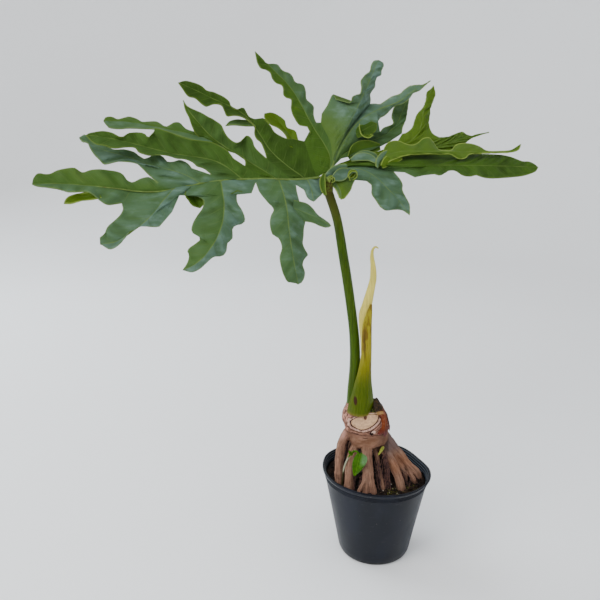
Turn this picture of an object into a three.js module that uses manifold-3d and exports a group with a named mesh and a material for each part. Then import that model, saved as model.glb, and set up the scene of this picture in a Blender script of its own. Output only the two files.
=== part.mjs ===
// Potted philodendron: a young plant with one large, deeply lobed leaf, standing on stilt roots
// in a black 12 cm nursery pot. Millimetres, +Z up, origin at the centre of the pot's base.
import * as THREE from 'three';
import Module from 'manifold-3d';

const wasm = await Module();
wasm.setup();

// ---- driving dimensions (mm, degrees) ----
const POT_HEIGHT = 100;
const POT_RIM_RADIUS = 58;
const POT_BASE_RADIUS = 39.6;
const POT_WALL = 1.1;
const POT_FLOOR = 2;
const POT_SIDES = 40;
const POT_LEAN = 0.8;
const RIM_BAND = 8;
const RIM_FLARE = 1;
const RIM_LIP = 1.1;
const DRAIN_HOLES = 6;
const DRAIN_RADIUS = 4;
const DRAIN_RING = 25;
const GAP = 0.3;

const SOIL_LEVEL = 90;
const SOIL_LUMP = 1.6;
const SOIL_RINGS = 6;

const TRUNK_CENTRE = [-12, 4];
const TRUNK_LEAN = 0.2;
const TRUNK_LEAN_FROM = 149;
const TRUNK_PROFILE = [
  [6, 122], [14, 126.5], [19.2, 130], [21.4, 134], [22.2, 140], [23.2, 146], [23.8, 152], [23.8, 158],
  [22.2, 165], [20, 171], [17.4, 175.5],
];
const TRUNK_SIDES = 18;
const SCAR_POINT = [-15.5, -16.2, 161];
const SCAR_NORMAL = [-0.08, -0.86, 0.5];

const BLADE_THICKNESS = 0.8;
const RIB_KEEL = 0.9;
const LEAF_BASE = [-61.2, 0, 416.9];
const LEAF_YAW = 14.9;
const LEAF_RISE = 1.25;
const FAR_SLOPE = 50;
const NEAR_SLOPE = 65;
const FRONT_VIEW = [-86, -684, 492];

const STALK_ROUTE = [
  [-28.6, 8, 166], [-28, 7, 190], [-26.6, 6, 220], [-28, 5, 252], [-33.6, 4, 294],
  [-41.9, 2, 343], [-48.8, 1, 380], [-57.8, 0, 407.5],
];
const STALK_RADII = [6.4, 6, 5.5, 5.2, 5, 4.8, 4.6, 4.6];
const STALK_SQUASH = 0.94;

// Stilt roots: [radius at the trunk, radius in the soil, route].
const ROOTS = [
  [5.2, 5, [[-29, 2, 149], [-34.1, -1, 143], [-38.6, -5, 136], [-41.3, -9, 128.5], [-42.6, -13, 117],
    [-43, -19, 94], [-42.5, -21, 74]]],
  [4.8, 4.9, [[-24, -6, 133], [-30, -17, 122.5], [-33, -27, 105], [-33.5, -31.5, 88], [-32.5, -32, 74]]],
  [2.8, 2.4, [[-13, -29, 117], [-14, -35, 108], [-19, -40, 97], [-24, -42, 87], [-25, -42.5, 76]]],
  [4.6, 4.1, [[-15, -8, 134], [-15, -20, 126], [-15, -31, 112], [-16, -40, 90], [-16, -42, 74]]],
  [4.6, 4.1, [[-12, -8, 133], [-12, -20, 124.5], [-11, -32.5, 107], [-7.5, -40, 90], [-7.5, -42, 74]]],
  [2.6, 2.2, [[-6, -2, 131], [-2, -9, 121], [0.5, -18, 108], [3, -29, 96], [4.5, -36, 86], [5, -38, 76]]],
  [5, 4.8, [[1, 0, 130], [9, -8, 122.5], [18, -18, 108], [23, -29, 94], [24, -33, 76]]],
  [4.2, 3.4, [[7, 0, 131], [13.6, -3, 121.7], [19.3, -5, 111.5], [25.8, -9, 104.3], [29.2, -12, 97.7],
    [30.5, -14, 87], [31, -14.5, 76]]],
  [5.4, 5.2, [[2, 4, 145], [10, 4, 135.3], [16, 3, 127], [23, 1, 118], [33.6, -3, 105.1], [44.2, -7, 94.6],
    [44.5, -8, 78]]],
  [2.8, 2.6, [[33, -3, 104], [36, -12, 98.5], [38.8, -17, 94], [40, -18.5, 86], [40, -18.5, 78]]],
  [4.4, 4, [[-19, 12, 138], [-27, 24, 114], [-32.5, 33.5, 90], [-32, 33, 74]]],
  [4.4, 4, [[-4, 14, 137], [2, 27, 113], [6, 40, 90], [7, 41, 74]]],
  [4.2, 3.8, [[6, 10, 137], [21, 20, 113], [31, 29, 90], [32, 30, 74]]],
];
const ROOT_SIDES = 6;

// Green sheath: [height, left x, right x, y of the middle, y of the edges].
const SHEATH_ROWS = [
  [169, -34.4, -8.4, -14.6, -4], [178, -33.2, -7.2, -14.2, -4.4], [190, -30.1, -7.9, -12.8, -4.6],
  [203, -26.9, -9.4, -10.8, -4.4], [217, -23.5, -10.3, -9, -4.2], [232, -21.2, -10.7, -7.8, -4],
  [254, -20.1, -11, -6.8, -3.8], [269, -19.7, -11.1, -6, -3.6], [280, -16.6, -11.2, -5.2, -3.6],
];
const SHEATH_TIP = [-12, -4, 291.5];
const SHEATH_THICKNESS = 1.4;

// Rolled new leaf behind the sheath: route and half width, flattened towards the viewer.
const NEW_LEAF_ROUTE = [
  [-13.5, 3, 172], [-14.6, 2.4, 204], [-15.4, 1.6, 236], [-16.2, 1, 252], [-18.2, 0.6, 268],
  [-18.5, 0.4, 280], [-16, 0.2, 290], [-12.8, 0.1, 305], [-10.4, 0, 318], [-10.8, 0, 330],
  [-12.4, 0, 343], [-11.5, 0, 349], [-9, 0, 351.3], [-5.8, 0, 349.6],
];
const NEW_LEAF_RADII = [4.6, 4.7, 4.8, 5, 5.4, 5.8, 5.8, 5.6, 4.9, 3.9, 3.2, 2, 0.6];
const NEW_LEAF_SQUASH = 0.5;

// Dry sheath round the trunk's right shoulder: [height, distance from the trunk's axis, and the
// angles round that axis where it starts and ends].
const DRY_SHEATH_ROWS = [
  [148, 24.6, -69, 34], [152, 24.9, -65, 34], [158, 24.9, -52, 32], [165, 23.3, -45, 28],
  [171, 21.2, -50, 22], [175.5, 18.7, -52, 16], [180, 16.6, -46, 8], [183, 14.4, -22, -2],
];
const DRY_SHEATH_THICKNESS = 1;
const DRY_SHEATH_RAGGED = 2.2;

const SEEDLING_ROUTE = [
  [-40.5, -27, 80], [-39.6, -24.5, 100], [-38.4, -24, 112], [-34.7, -24.5, 124], [-31, -27, 131.5],
  [-26.5, -30.8, 136.5], [-22.9, -33.4, 134.4],
];
const SEEDLING_RADIUS = 0.9;
// Seedling leaf in front view: [x, z] round the edge from its stalk.
const SEEDLING_LEFT = [[-25.5, 135.6], [-28.6, 131], [-30.4, 124.5], [-30, 117], [-28.9, 112]];
const SEEDLING_RIGHT = [[-19.8, 135.4], [-15.6, 132.4], [-14.8, 128], [-18.6, 120.5], [-24, 114]];
const SEEDLING_TIP = [-28.2, 108.7];
const SEEDLING_TOP = [-22.8, 134.2];
const SEEDLING_Y = -33.5;

const BUD_ROUTE = [[5.3, -7, 128.5], [2.3, -14.8, 128.3], [-1.3, -19.2, 125.3]];
const BUD_RADII = [1.9, 1.7, 0.5];

// ---- the leaf's outline ----
// Drawn in the blade's own plane: u runs from the leaf stalk along the midrib to the tip,
// v across it, upwards and away from the viewer on the far side, negative where lobes hang.
// Each web is the line from a rib to the bottom of the cut between two lobes; each lobe has a
// vein, a fore edge (towards the tip) and an aft edge, both from the cut to the lobe's tip.
// "sink" moves a vein, and "fore" / "aft" depths move an edge, back along the line of sight.
const FAR_WEBS = [
  [[150, -6], [163, 0]],
  [[104, 3], [112, 9]],
  [[62, 4], [78, 19]],
  [[34, 3], [55, 28]],
  [[8, 5], [13, 49]],
  [[-10, 17], [-15, 45], [-9, 73]],
  [[-12.5, 20], [-21, 38], [-40, 67], [-55, 84], [-69, 99]],
  [[-13.6, 21], [-24, 36], [-46, 54], [-72, 62]],
  [[-14.6, 22], [-25, 30], [-32, 31], [-50, 36], [-75, 47], [-97, 61]],
];
const FAR_LOBES = [
  {
    vein: [[150, -6], [165, -8.5], [180, -8], [200, -5], [225, -2], [250, 0], [273, 0]],
    aft: [[170, 6.5], [178, 5], [184, 1.5], [187, 1], [191, 4], [194, 10], [198, 12.5], [207, 14.5],
      [215, 15.5], [223, 14.5], [229, 12], [233, 14], [236, 17], [246, 16], [252, 14], [258, 10.5],
      [263, 10.5], [267, 11.5], [271, 8]],
    sink: [3, 0, -8], aftSink: [10, 2],
  },
  {
    vein: [[124, 0], [135, 8], [152, 15], [170, 21], [190, 30], [210, 37], [222, 44], [231, 51]],
    fore: [[167, 5], [172, 11], [177, 18], [181, 22], [190, 24], [198, 24], [205, 22], [210, 21],
      [214, 26], [219, 33], [222, 40], [224, 46], [228, 46]],
    aft: [[120, 9], [128, 14], [133, 22], [140, 26], [147, 24], [152, 24], [156, 30], [162, 32],
      [168, 30], [172, 27], [177, 30], [182, 35], [190, 38], [200, 38], [210, 44], [220, 51], [228, 55]],
    sink: [4, 10, 14], foreSink: [-4, 2], aftSink: [12, 16],
  },
  {
    vein: [[83, 4], [93, 15], [105, 24], [122, 29], [145, 33], [168, 40], [190, 47], [210, 52], [225, 54]],
    fore: [[118, 16], [125, 19], [128, 23], [135, 27], [144, 28], [151, 31], [159, 32], [168, 31],
      [174, 33], [178, 35], [181, 40], [190, 40.5], [200, 39], [208, 42], [217, 44]],
    aft: [[82, 22], [88, 28], [92, 36], [100, 43], [107, 47], [118, 49], [130, 51], [138, 54], [146, 58],
      [155, 62], [161, 63], [162, 54], [168, 53], [171, 57], [186, 57], [190, 53], [195, 53], [200, 57],
      [208, 59], [216, 58], [222, 56.5]],
    sink: [0, -6, -14], foreSink: [-8, -12], aftSink: [-6, -14],
  },
  {
    vein: [[48, 3.5], [62, 15], [78, 28], [95, 42], [107, 54], [116, 68], [124, 82], [130, 98]],
    fore: [[77, 25], [80, 32], [85, 35.5], [91, 36], [98, 42], [106, 46], [115, 50], [122, 57],
      [124, 64], [126, 75], [129, 86]],
    aft: [[60, 34], [65, 42], [66, 50], [69, 55], [73, 55], [76, 51], [80, 47], [85, 48], [90, 53],
      [93, 60], [95, 68], [101, 74], [108, 79], [113, 83], [119, 86], [127, 91]],
    sink: [6, 2, -12], foreSink: [10, 6], aftSink: [-4, -10],
  },
  {
    vein: [[21, 5], [38, 22], [50, 38], [57, 55], [64, 72], [72, 83], [84, 92], [100, 101], [116, 111],
      [132.5, 120.5]],
    fore: [[56, 38], [58, 47], [62, 52], [63, 59], [61, 67], [66, 73], [74, 79], [82, 80], [88, 79],
      [90, 86], [92, 92.5], [100, 94], [107, 90.5], [112, 94], [118, 101], [124, 103], [129, 112]],
    aft: [[22, 52], [30, 52], [36, 55], [42, 60], [45, 68], [48, 73], [52, 78], [58, 76], [62, 77],
      [66, 80], [68, 86], [70, 90.5], [73, 90], [75, 87.5], [79, 88], [82, 92], [84, 99], [90, 105],
      [98, 109.5], [105, 111.5], [109, 117], [117, 121], [126, 123]],
    sink: [0, 6, -16], foreSink: [-8, 0], aftSink: [8, -4],
  },
  {
    vein: [[-8, 15], [-11, 30], [-8, 45], [0, 66], [6, 88], [11, 105], [18, 122], [30, 140], [47, 166]],
    fore: [[8, 50], [5, 57], [4, 64], [7, 68], [14, 69], [18, 78], [20, 88], [18, 103], [22, 104],
      [25, 108], [24, 116], [25, 121], [31, 124], [34, 131], [35, 138], [39, 141], [44, 143], [47, 152]],
    aft: [[-5, 72], [-3, 80], [-4, 88], [-5, 94], [-2, 99], [1, 103], [0, 115], [1, 122], [4, 124],
      [8, 125], [10, 127], [11, 133], [14, 138], [19, 140], [22, 143], [25, 149], [30, 150], [36, 150],
      [40, 153], [44, 159]],
    sink: [4, -14, -42], foreSink: [-8, -22], aftSink: [2, -20],
  },
  {
    vein: [[-11, 18.5], [-17, 34], [-27, 52], [-40, 73], [-53, 93], [-64, 112], [-76, 132], [-86, 150],
      [-93, 161]],
    fore: [[-13, 73], [-15, 76], [-12.5, 82], [-13, 90], [-17, 97], [-20, 95], [-22, 101], [-26, 107],
      [-31, 111], [-32, 103], [-36, 99], [-42, 98], [-48, 102], [-51, 108], [-56, 111], [-60, 112],
      [-64, 121], [-65, 130], [-71, 138], [-79, 145], [-82, 153], [-87, 160]],
    aft: [[-71, 105], [-72, 112], [-76, 118], [-80, 123], [-82, 130], [-86, 137], [-91, 140], [-93, 146],
      [-97, 153], [-97, 159]],
    sink: [-8, -22, -46], foreSink: [-18, -36], aftSink: [-12, -36],
  },
  {
    vein: [[-13, 20.5], [-23, 38], [-44, 68], [-62, 83], [-80, 93], [-103, 103], [-118, 114],
      [-130, 122], [-149, 134]],
    fore: [[-75, 99.5], [-80, 99], [-88, 104], [-97, 110], [-107, 114], [-115, 121], [-123, 126],
      [-133, 127.5], [-140, 128.5]],
    aft: [[-70, 70], [-72, 77], [-84, 85], [-97, 97], [-108, 101], [-117, 108], [-123, 115], [-133, 120],
      [-141, 127]],
    sink: [-4, -14, -30], foreSink: [-4, -22], aftSink: [4, -18],
  },
  {
    vein: [[-14, 21.5], [-27, 34], [-50, 46], [-75, 57], [-93, 72], [-105, 91], [-118, 112]],
    fore: [[-78, 68], [-85, 70.5], [-90, 74], [-90, 82], [-93, 90], [-97, 97], [-107, 105]],
    aft: [[-100, 69], [-106, 79], [-111, 92], [-115, 103]],
    sink: [6, 10, 12], foreSink: [6, 8], aftSink: [12, 14],
  },
];

const NEAR_WEBS = [
  [[150, -6], [176, -13], [197, -19]],
  [[128, -1], [144, -12]],
  [[70, 4], [70, 0]],
  [[33, 3], [30, -3]],
  [[3, 3], [2, -8]],
];
const NEAR_LOBES = [
  {
    vein: [[150, -6], [165, -8.5], [180, -8], [200, -5], [225, -2], [250, 0], [273, 0]],
    aft: [[203, -20], [209, -20.5], [214, -18], [217, -15], [221, -11], [226, -8], [237, -8],
      [243, -8], [252, -5], [262, -3.5], [270, -2]],
    sink: [3, 0, -8], aftSink: [-6, -6],
  },
  {
    vein: [[148, -5], [160, -18], [172, -32], [188, -45], [205, -55], [218, -57]],
    fore: [[196, -24], [199, -30], [204, -35], [210, -40], [214, -47], [219, -52]],
    aft: [[144, -18], [148, -26], [154, -29], [158, -34], [161, -40], [166, -42], [175, -41.5],
      [182, -41], [188, -44], [194, -48], [198, -54], [203, -59], [210, -62]],
    sink: [-14, -18, -8], foreSink: [-6, -12], aftSink: [-16, -16],
  },
  {
    vein: [[104, 2], [103, -10], [103, -25], [107, -42], [114, -56], [125, -70], [136, -79], [147, -83.5]],
    fore: [[134, -12], [128, -13], [122, -17], [123, -24], [129, -32], [134, -40], [135.5, -46],
      [133, -51], [131, -48.5], [127, -50], [127.5, -54], [133, -59], [141, -65], [140, -70],
      [142, -77], [145, -81]],
    aft: [[72, -5], [78, -10], [85, -9.5], [88.5, -6], [89.5, -14], [90, -20], [86, -28], [84, -36],
      [86, -40.5], [93, -42], [97, -45], [97.5, -52], [98.5, -56], [103, -59], [105, -67],
      [109, -71.5], [117, -72], [125, -78], [131, -83], [139, -86]],
    sink: [-22, -22, -2], foreSink: [-4, -14], aftSink: [-10, -14],
  },
  {
    vein: [[47, 3.5], [44, -10], [42, -25], [42, -50], [41, -75], [39, -102]],
    fore: [[69, -6], [66, -12], [61, -19], [56, -25], [55, -28], [58, -33], [60, -39], [60, -48],
      [58, -53], [54, -55], [51.5, -60], [51, -66], [54, -74], [54, -84], [52, -93], [49, -99], [43, -100]],
    aft: [[30, -10], [29, -17], [28, -24], [27, -32], [25, -40], [27, -46], [28.5, -55], [30, -62],
      [28, -69], [26, -73.5], [30, -77], [32.5, -83], [31, -90], [32.5, -96], [35, -100]],
    sink: [-24, -24, 2], foreSink: [-8, -14], aftSink: [-12, -8],
  },
  {
    vein: [[18, 4], [15, -8], [14, -20]],
    fore: [[27, -4], [24, -5], [22, -10], [20, -16], [16, -19.5]],
    aft: [[5, -13], [9, -16], [12, -19]],
    sink: [-6, -8, -4], foreSink: [-2, -4], aftSink: [-6, -6],
  },
];

const BACK_WEBS = [
  [[0, 10], [-16, 21], [-36, 27], [-62, 36], [-85, 46], [-97, 60]],
  [[-1, 9], [-30, 24], [-62, 32], [-100, 41], [-139, 56]],
  [[-1.4, 8.4], [-30, 22.5], [-62, 27], [-100, 31], [-150, 33]],
  [[-1.8, 7.5], [-20, 16], [-45, 18], [-76, 12]],
  [[-2.2, 6.5], [-20, 9], [-32, 2]],
  [[-2.6, 5], [-6, -3]],
];
const BACK_LOBES = [
  {
    vein: [[-0.6, 9.5], [-30, 25], [-62, 34], [-95, 46], [-113, 58], [-122, 72], [-129, 90],
      [-138, 108], [-151, 127]],
    fore: [[-101, 61], [-110, 68], [-116, 79], [-121, 87], [-131, 97], [-136, 106], [-140, 117],
      [-147, 123]],
    aft: [[-133, 60], [-131, 67], [-132, 76], [-136, 86], [-138, 93], [-144, 104], [-150, 115]],
    sink: [0, 0, -16], foreSink: [-4, -8], aftSink: [2, -6],
  },
  {
    vein: [[-1.2, 8.7], [-30, 23.5], [-62, 30], [-100, 37], [-135, 45], [-165, 54], [-185, 60],
      [-201, 63.5]],
    fore: [[-150, 57], [-160, 61], [-169, 63.5], [-173, 60], [-180, 58.5], [-190, 61]],
    aft: [[-158, 42], [-168, 49], [-177, 55], [-190, 60]],
    sink: [0, 2, 0], foreSink: [4, 2], aftSink: [-2, 0],
  },
  {
    vein: [[-1.6, 8], [-12, 15], [-28, 20.5], [-45, 22], [-62, 20.5], [-90, 20], [-130, 20],
      [-170, 19.5], [-210, 18.5], [-247, 17]],
    fore: [[-170, 34], [-195, 34], [-208, 33], [-218, 30.5], [-230, 25], [-238, 24.5], [-244, 21]],
    aft: [[-79, 11], [-83, 13], [-88, 11], [-92, 11], [-96, 6], [-101, 4], [-107, 5], [-111, 9],
      [-117, 11], [-122, 8], [-127, 7], [-133, 10], [-139, 13], [-146, 12.5], [-152, 7.5],
      [-160, 5.5], [-169, 7], [-177, 4], [-190, 3], [-205, 4], [-221, 5.5], [-234, 8.5], [-243, 12.5]],
    sink: [-10, -18, -24], foreSink: [-8, -18], aftSink: [-14, -22],
  },
  {
    vein: [[-2, 7], [-20, 14], [-36, 16], [-47, 12], [-56, 4], [-65, -9], [-72, -20], [-81, -40]],
    fore: [[-78, 8], [-81, 2], [-82, -4], [-80.5, -11], [-82, -19], [-84, -27], [-83, -34]],
    aft: [[-38, -1], [-44, 1], [-48, 0], [-47.5, -8], [-46, -15], [-49, -23], [-52, -30], [-56, -34],
      [-65, -33.5], [-75, -34.5], [-79, -38]],
    sink: [-14, -14, 8], foreSink: [-8, -2], aftSink: [-6, 0],
  },
  {
    vein: [[-2.4, 6], [-10, 0], [-14, -10], [-13, -20.5]],
    fore: [[-29, -2], [-25, -10], [-20, -16], [-16, -20]],
    aft: [[-9, -9], [-10.5, -15], [-11, -19]],
    sink: [-4, -6, -4], foreSink: [-2, -3], aftSink: [-4, -4],
  },
];

// Side lobes, each grown out of the face of a lobe. Their sinks count from where they are rooted.
const SIDE_LOBES = [
  {
    vein: [[106, 49], [125, 56], [145, 61], [165, 66], [185, 70], [208, 71]],
    fore: [[108, 44], [132, 52], [150, 59], [160, 61.5], [170, 62], [185, 62.5], [195, 61.5], [204, 63.5]],
    aft: [[112, 56], [124, 60], [131, 63], [136, 70], [141, 70.5], [146, 67], [150, 65], [154, 68],
      [158, 71], [165, 71], [172, 70.5], [177, 74], [184, 76.5], [190, 74.5], [195, 73], [200, 76],
      [206, 75]],
    sink: [4, 8, 2], foreSink: [0, 2], aftSink: [12, 12],
  },
  {
    vein: [[62, 71], [72, 71.5], [82, 71.5], [91, 67.5]],
    fore: [[60, 67], [70, 67], [82, 68]],
    aft: [[64, 75], [71, 75], [78, 75.5], [86, 73]],
    sink: [6, 8, 4], foreSink: [2, 2], aftSink: [8, 8],
  },
  {
    vein: [[24, 40], [26, 54], [32, 67], [40, 77], [49, 83.5]],
    fore: [[31, 44], [31, 56], [37, 65], [45, 70], [50, 78]],
    aft: [[18, 44], [19, 54], [20, 62], [28, 66], [29, 75], [34, 81], [42, 85]],
    sink: [8, 12, 2], foreSink: [2, 0], aftSink: [12, 8],
  },
  {
    vein: [[-44, 58], [-54, 64], [-63, 69], [-71, 73]],
    fore: [[-42, 62], [-50, 69], [-57, 72.5], [-65, 75.5]],
    aft: [[-46, 54], [-55, 57], [-63, 59], [-69, 65]],
    sink: [-8, -10, -4], foreSink: [-2, -2], aftSink: [-12, -10],
  },
  {
    vein: [[216, -9], [225, -11.5], [235, -13.5], [247, -18.5]],
    fore: [[218, -6], [228, -8], [238, -10], [245, -13.5]],
    aft: [[214, -14], [222, -15.5], [232, -16.5], [241, -19]],
    sink: [6, 8, 2], foreSink: [-2, -2], aftSink: [2, 4],
  },
  {
    vein: [[130, -4], [130, -12], [128.5, -19], [126, -24.5]],
    fore: [[137, -5], [139, -12], [136, -17], [133, -22]],
    aft: [[123, -4], [123.5, -11], [122, -17], [121.5, -22]],
    sink: [8, 8, 2], foreSink: [0, -2], aftSink: [0, -2],
  },
  {
    vein: [[36, -26], [24, -31], [12, -37], [-1, -45]],
    fore: [[34, -18], [27, -20], [21, -22], [15, -28], [12, -33], [6, -38], [1, -42]],
    aft: [[34, -38], [25, -40], [18, -41.5], [10, -45], [3, -47]],
    sink: [-4, -4, -6], foreSink: [6, 2], aftSink: [2, 0],
  },
  {
    vein: [[-60, 22], [-75, 33], [-90, 37], [-120, 37.5], [-150, 37.5], [-185, 37],
      [-215, 38], [-236, 48]],
    fore: [[-60, 26], [-68, 33], [-73, 43], [-79, 49], [-90, 51], [-98, 47], [-105, 45.5], [-113, 49],
      [-120, 54.5], [-128, 55], [-131, 47], [-134, 40], [-141, 38.8], [-149, 39.5], [-155, 45.5],
      [-163, 48.5], [-176, 47.5], [-184, 44], [-190, 39], [-205, 38.4], [-222, 40], [-229, 44]],
    aft: [[-60, 18], [-66, 20], [-80, 27], [-95, 32], [-115, 34], [-135, 34], [-147, 33.5],
      [-153, 28.5], [-162, 28.5], [-168, 33.5], [-185, 35], [-205, 36], [-222, 37], [-231, 40.5]],
    sink: [-22, -16, -20], foreSink: [-12, -10], aftSink: [-14, -16],
  },
];

const WEB_STEPS = 3;
const ROW_PITCH = 10.5;
const LEAST_ROWS = 6;
const COLUMNS = [1, 0.5, 0];
const SIDE_LOBE_COLUMNS = [1, 0];
const RUFFLE = 1.6;
const RUFFLE_PITCH = 24;

// Ribs under the blade: [radius at the stalk, radius at the end, route in the blade's plane].
const RIBS = [
  [3, 0.8, [[-3, 6], [30, 3], [60, 4], [95, 3], [120, 0], [140, -4], [160, -8], [180, -8],
    [200, -5], [225, -2], [250, 0], [262, 0]]],
  [2.8, 1.4, [[0, 3], [-8, 14], [-12, 20], [-17, 34], [-23, 45]]],
  [2.8, 1.4, [[4, 5], [-1.6, 8], [-12, 15], [-28, 20.5], [-40, 22]]],
];

// ---- helpers: curves, skins and joins ----
const vector = ([x, y, z = 0]) => new THREE.Vector3(x, y, z);

function route(points) {
  const curve = new THREE.CatmullRomCurve3(points.map(vector), false, 'centripetal');
  curve.arcLengthDivisions = 60 * points.length;
  return curve;
}

// A closed skin over rings of equally many points, closed by a point at each end.
function skin(rings, start, end) {
  const count = rings[0].length;
  const positions = [...rings.flat(), start, end].flatMap((p) => [p.x, p.y, p.z]);
  const startIndex = rings.length * count;
  const endIndex = startIndex + 1;
  const faces = [];
  for (let k = 0; k < count; k += 1) {
    const next = (k + 1) % count;
    faces.push(startIndex, next, k);
    for (let i = 0; i + 1 < rings.length; i += 1) {
      const [a, b] = [i * count + k, i * count + next];
      faces.push(a, b, a + count, b, b + count, a + count);
    }
    const last = (rings.length - 1) * count;
    faces.push(last + k, last + next, endIndex);
  }
  return outward(meshData(positions, faces));
}

function meshData(positions, faces) {
  const geometry = new THREE.BufferGeometry();
  geometry.setAttribute('position', new THREE.Float32BufferAttribute(positions, 3));
  geometry.setIndex(faces);
  return geometry;
}

// Turns the faces round if they point in, by the sign of the enclosed volume.
function outward(geometry) {
  const p = geometry.attributes.position;
  const index = geometry.index.array;
  const [a, b, c] = [new THREE.Vector3(), new THREE.Vector3(), new THREE.Vector3()];
  let volume = 0;
  for (let i = 0; i < index.length; i += 3) {
    a.fromBufferAttribute(p, index[i]);
    b.fromBufferAttribute(p, index[i + 1]);
    c.fromBufferAttribute(p, index[i + 2]);
    volume += a.dot(b.cross(c));
  }
  if (volume < 0) {
    for (let i = 0; i < index.length; i += 3) {
      [index[i], index[i + 1]] = [index[i + 1], index[i]];
    }
  }
  return geometry;
}

function solid(geometry) {
  const vertProperties = new Float32Array(geometry.attributes.position.array);
  const triVerts = new Uint32Array(geometry.index.array);
  return new wasm.Manifold(new wasm.Mesh({ numProp: 3, vertProperties, triVerts }));
}

function geometryOf(manifold) {
  const mesh = manifold.getMesh();
  return meshData(Array.from(mesh.vertProperties), Array.from(mesh.triVerts));
}

const joined = (solids) => solids.reduce((whole, next) => whole.add(next));

// A tube of changing radius along a route; squash flattens it towards the viewer.
function tube(points, radii, sides, steps, squash = 1, grow = 0) {
  const curve = route(points);
  const frames = curve.computeFrenetFrames(steps, false);
  const rings = [];
  for (let i = 0; i <= steps; i += 1) {
    const q = i / steps;
    const centre = curve.getPointAt(q);
    const radius = valueAlong(radii, q) + grow;
    const ring = [];
    for (let k = 0; k < sides; k += 1) {
      const angle = (2 * Math.PI * k) / sides;
      const offset = frames.normals[i].clone().multiplyScalar(Math.cos(angle) * radius);
      offset.addScaledVector(frames.binormals[i], Math.sin(angle) * radius);
      offset.y *= squash;
      ring.push(centre.clone().add(offset));
    }
    rings.push(ring);
  }
  const from = curve.getPointAt(0).addScaledVector(frames.tangents[0], -grow);
  const to = curve.getPointAt(1).addScaledVector(frames.tangents[steps], grow);
  return skin(rings, from, to);
}

function valueAlong(values, q) {
  const place = Math.min(q, 0.9999) * (values.length - 1);
  const k = Math.floor(place);
  return values[k] + (values[k + 1] - values[k]) * (place - k);
}

// ---- the pot and its soil ----
// How much of the rim's band is left at a height: 1 at the rim, 0 below the band.
const rimShare = (z) => Math.max(0, 1 - (POT_HEIGHT - z) / RIM_BAND);

// The thin wall is a little out of round, most at the rim: three long bulges and one dent.
// Below the rim's band the whole wall stands a little to the left.
function outOfRound(angle, z) {
  const degrees = THREE.MathUtils.radToDeg(angle);
  const bump = (at, width) => {
    const away = ((((degrees - at) % 360) + 540) % 360) - 180;
    return Math.exp(-((away / width) ** 2));
  };
  const shape = 1.8 * Math.cos(2 * (angle - THREE.MathUtils.degToRad(147))) - 4.2 * bump(20, 24)
    + 2.4 * bump(60, 20) + 1.6 * bump(150, 16);
  return shape * (z / POT_HEIGHT) ** 2 - POT_LEAN * (1 - rimShare(z)) * Math.cos(angle);
}

const wallRadius = (z) => POT_BASE_RADIUS + ((POT_RIM_RADIUS - POT_BASE_RADIUS) * z) / POT_HEIGHT
  + RIM_FLARE * rimShare(z);

// Rings of points round the Z axis from a profile of [radius, height].
function turned(profile, sides, shape) {
  return profile.map(([radius, z]) => Array.from({ length: sides }, (_, k) => {
    const angle = (2 * Math.PI * k) / sides;
    const r = radius + shape(angle, z, radius);
    return new THREE.Vector3(r * Math.cos(angle), r * Math.sin(angle), z);
  }));
}

function potGeometry() {
  const inner = (z) => [wallRadius(z) - POT_WALL, z];
  const outer = (z, relief = 0) => [wallRadius(z) + relief, z];
  const groove = (z) => [outer(z + 0.4), outer(z, 0.5), outer(z - 0.4)];
  const profile = [
    inner(POT_FLOOR), inner(40), inner(84), inner(POT_HEIGHT - RIM_BAND), inner(POT_HEIGHT - 0.6),
    [wallRadius(POT_HEIGHT), POT_HEIGHT], outer(99.2, RIM_LIP), outer(95.4, RIM_LIP), outer(94.8),
    ...groove(93), ...groove(91.2), ...groove(89.4),
    outer(45), outer(5), [POT_BASE_RADIUS - 0.9, 1.4], [POT_BASE_RADIUS - 3, 0],
  ];
  const rings = turned(profile, POT_SIDES, outOfRound);
  let pot = solid(skin(rings, vector([0, 0, POT_FLOOR]), vector([0, 0, 0])));
  for (let k = 0; k < DRAIN_HOLES; k += 1) {
    const angle = (2 * Math.PI * (k + 0.5)) / DRAIN_HOLES;
    const drill = turned([[DRAIN_RADIUS, -1], [DRAIN_RADIUS, POT_FLOOR + 1]], 10, () => 0);
    const [x, y] = [DRAIN_RING * Math.cos(angle), DRAIN_RING * Math.sin(angle)];
    drill.flat().forEach((p) => p.add(new THREE.Vector3(x, y, 0)));
    pot = pot.subtract(solid(skin(drill, vector([x, y, -1]), vector([x, y, POT_FLOOR + 1]))));
  }
  return geometryOf(pot);
}

function soilGeometry(rootCutters) {
  const reach = (z) => wallRadius(z) - POT_WALL - GAP;
  const profile = [[reach(POT_FLOOR) * 0.55, POT_FLOOR + GAP], [reach(POT_FLOOR) - 0.3, POT_FLOOR + GAP],
    [reach(40), 40], [reach(84), 84], [reach(SOIL_LEVEL - 2), SOIL_LEVEL - 2]];
  for (let i = 1; i < SOIL_RINGS; i += 1) {
    profile.push([reach(SOIL_LEVEL - 2) * (1 - i / SOIL_RINGS), SOIL_LEVEL]);
  }
  const shape = (angle, z, radius) => outOfRound(angle, z) * Math.min(1, radius / reach(z)) ** 2;
  const rings = turned(profile, POT_SIDES, shape);
  rings.slice(5).flat().forEach((p) => {
    p.z += SOIL_LUMP * Math.sin(p.x / 7.3 + 1) * Math.cos(p.y / 6.1) + 0.8 * Math.sin((p.x - p.y) / 4);
  });
  const soil = solid(skin(rings, vector([0, 0, POT_FLOOR + GAP]), vector([0, 0, SOIL_LEVEL + 1])));
  return geometryOf(rootCutters.reduce((rest, cutter) => rest.subtract(cutter), soil));
}

// ---- the stem: a stubby trunk on stilt roots ----
function rootGeometry([thick, thin, points], grow = 0) {
  return tube(points, [thick, thin, thin], ROOT_SIDES, points.length + 3, 1, grow);
}

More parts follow.
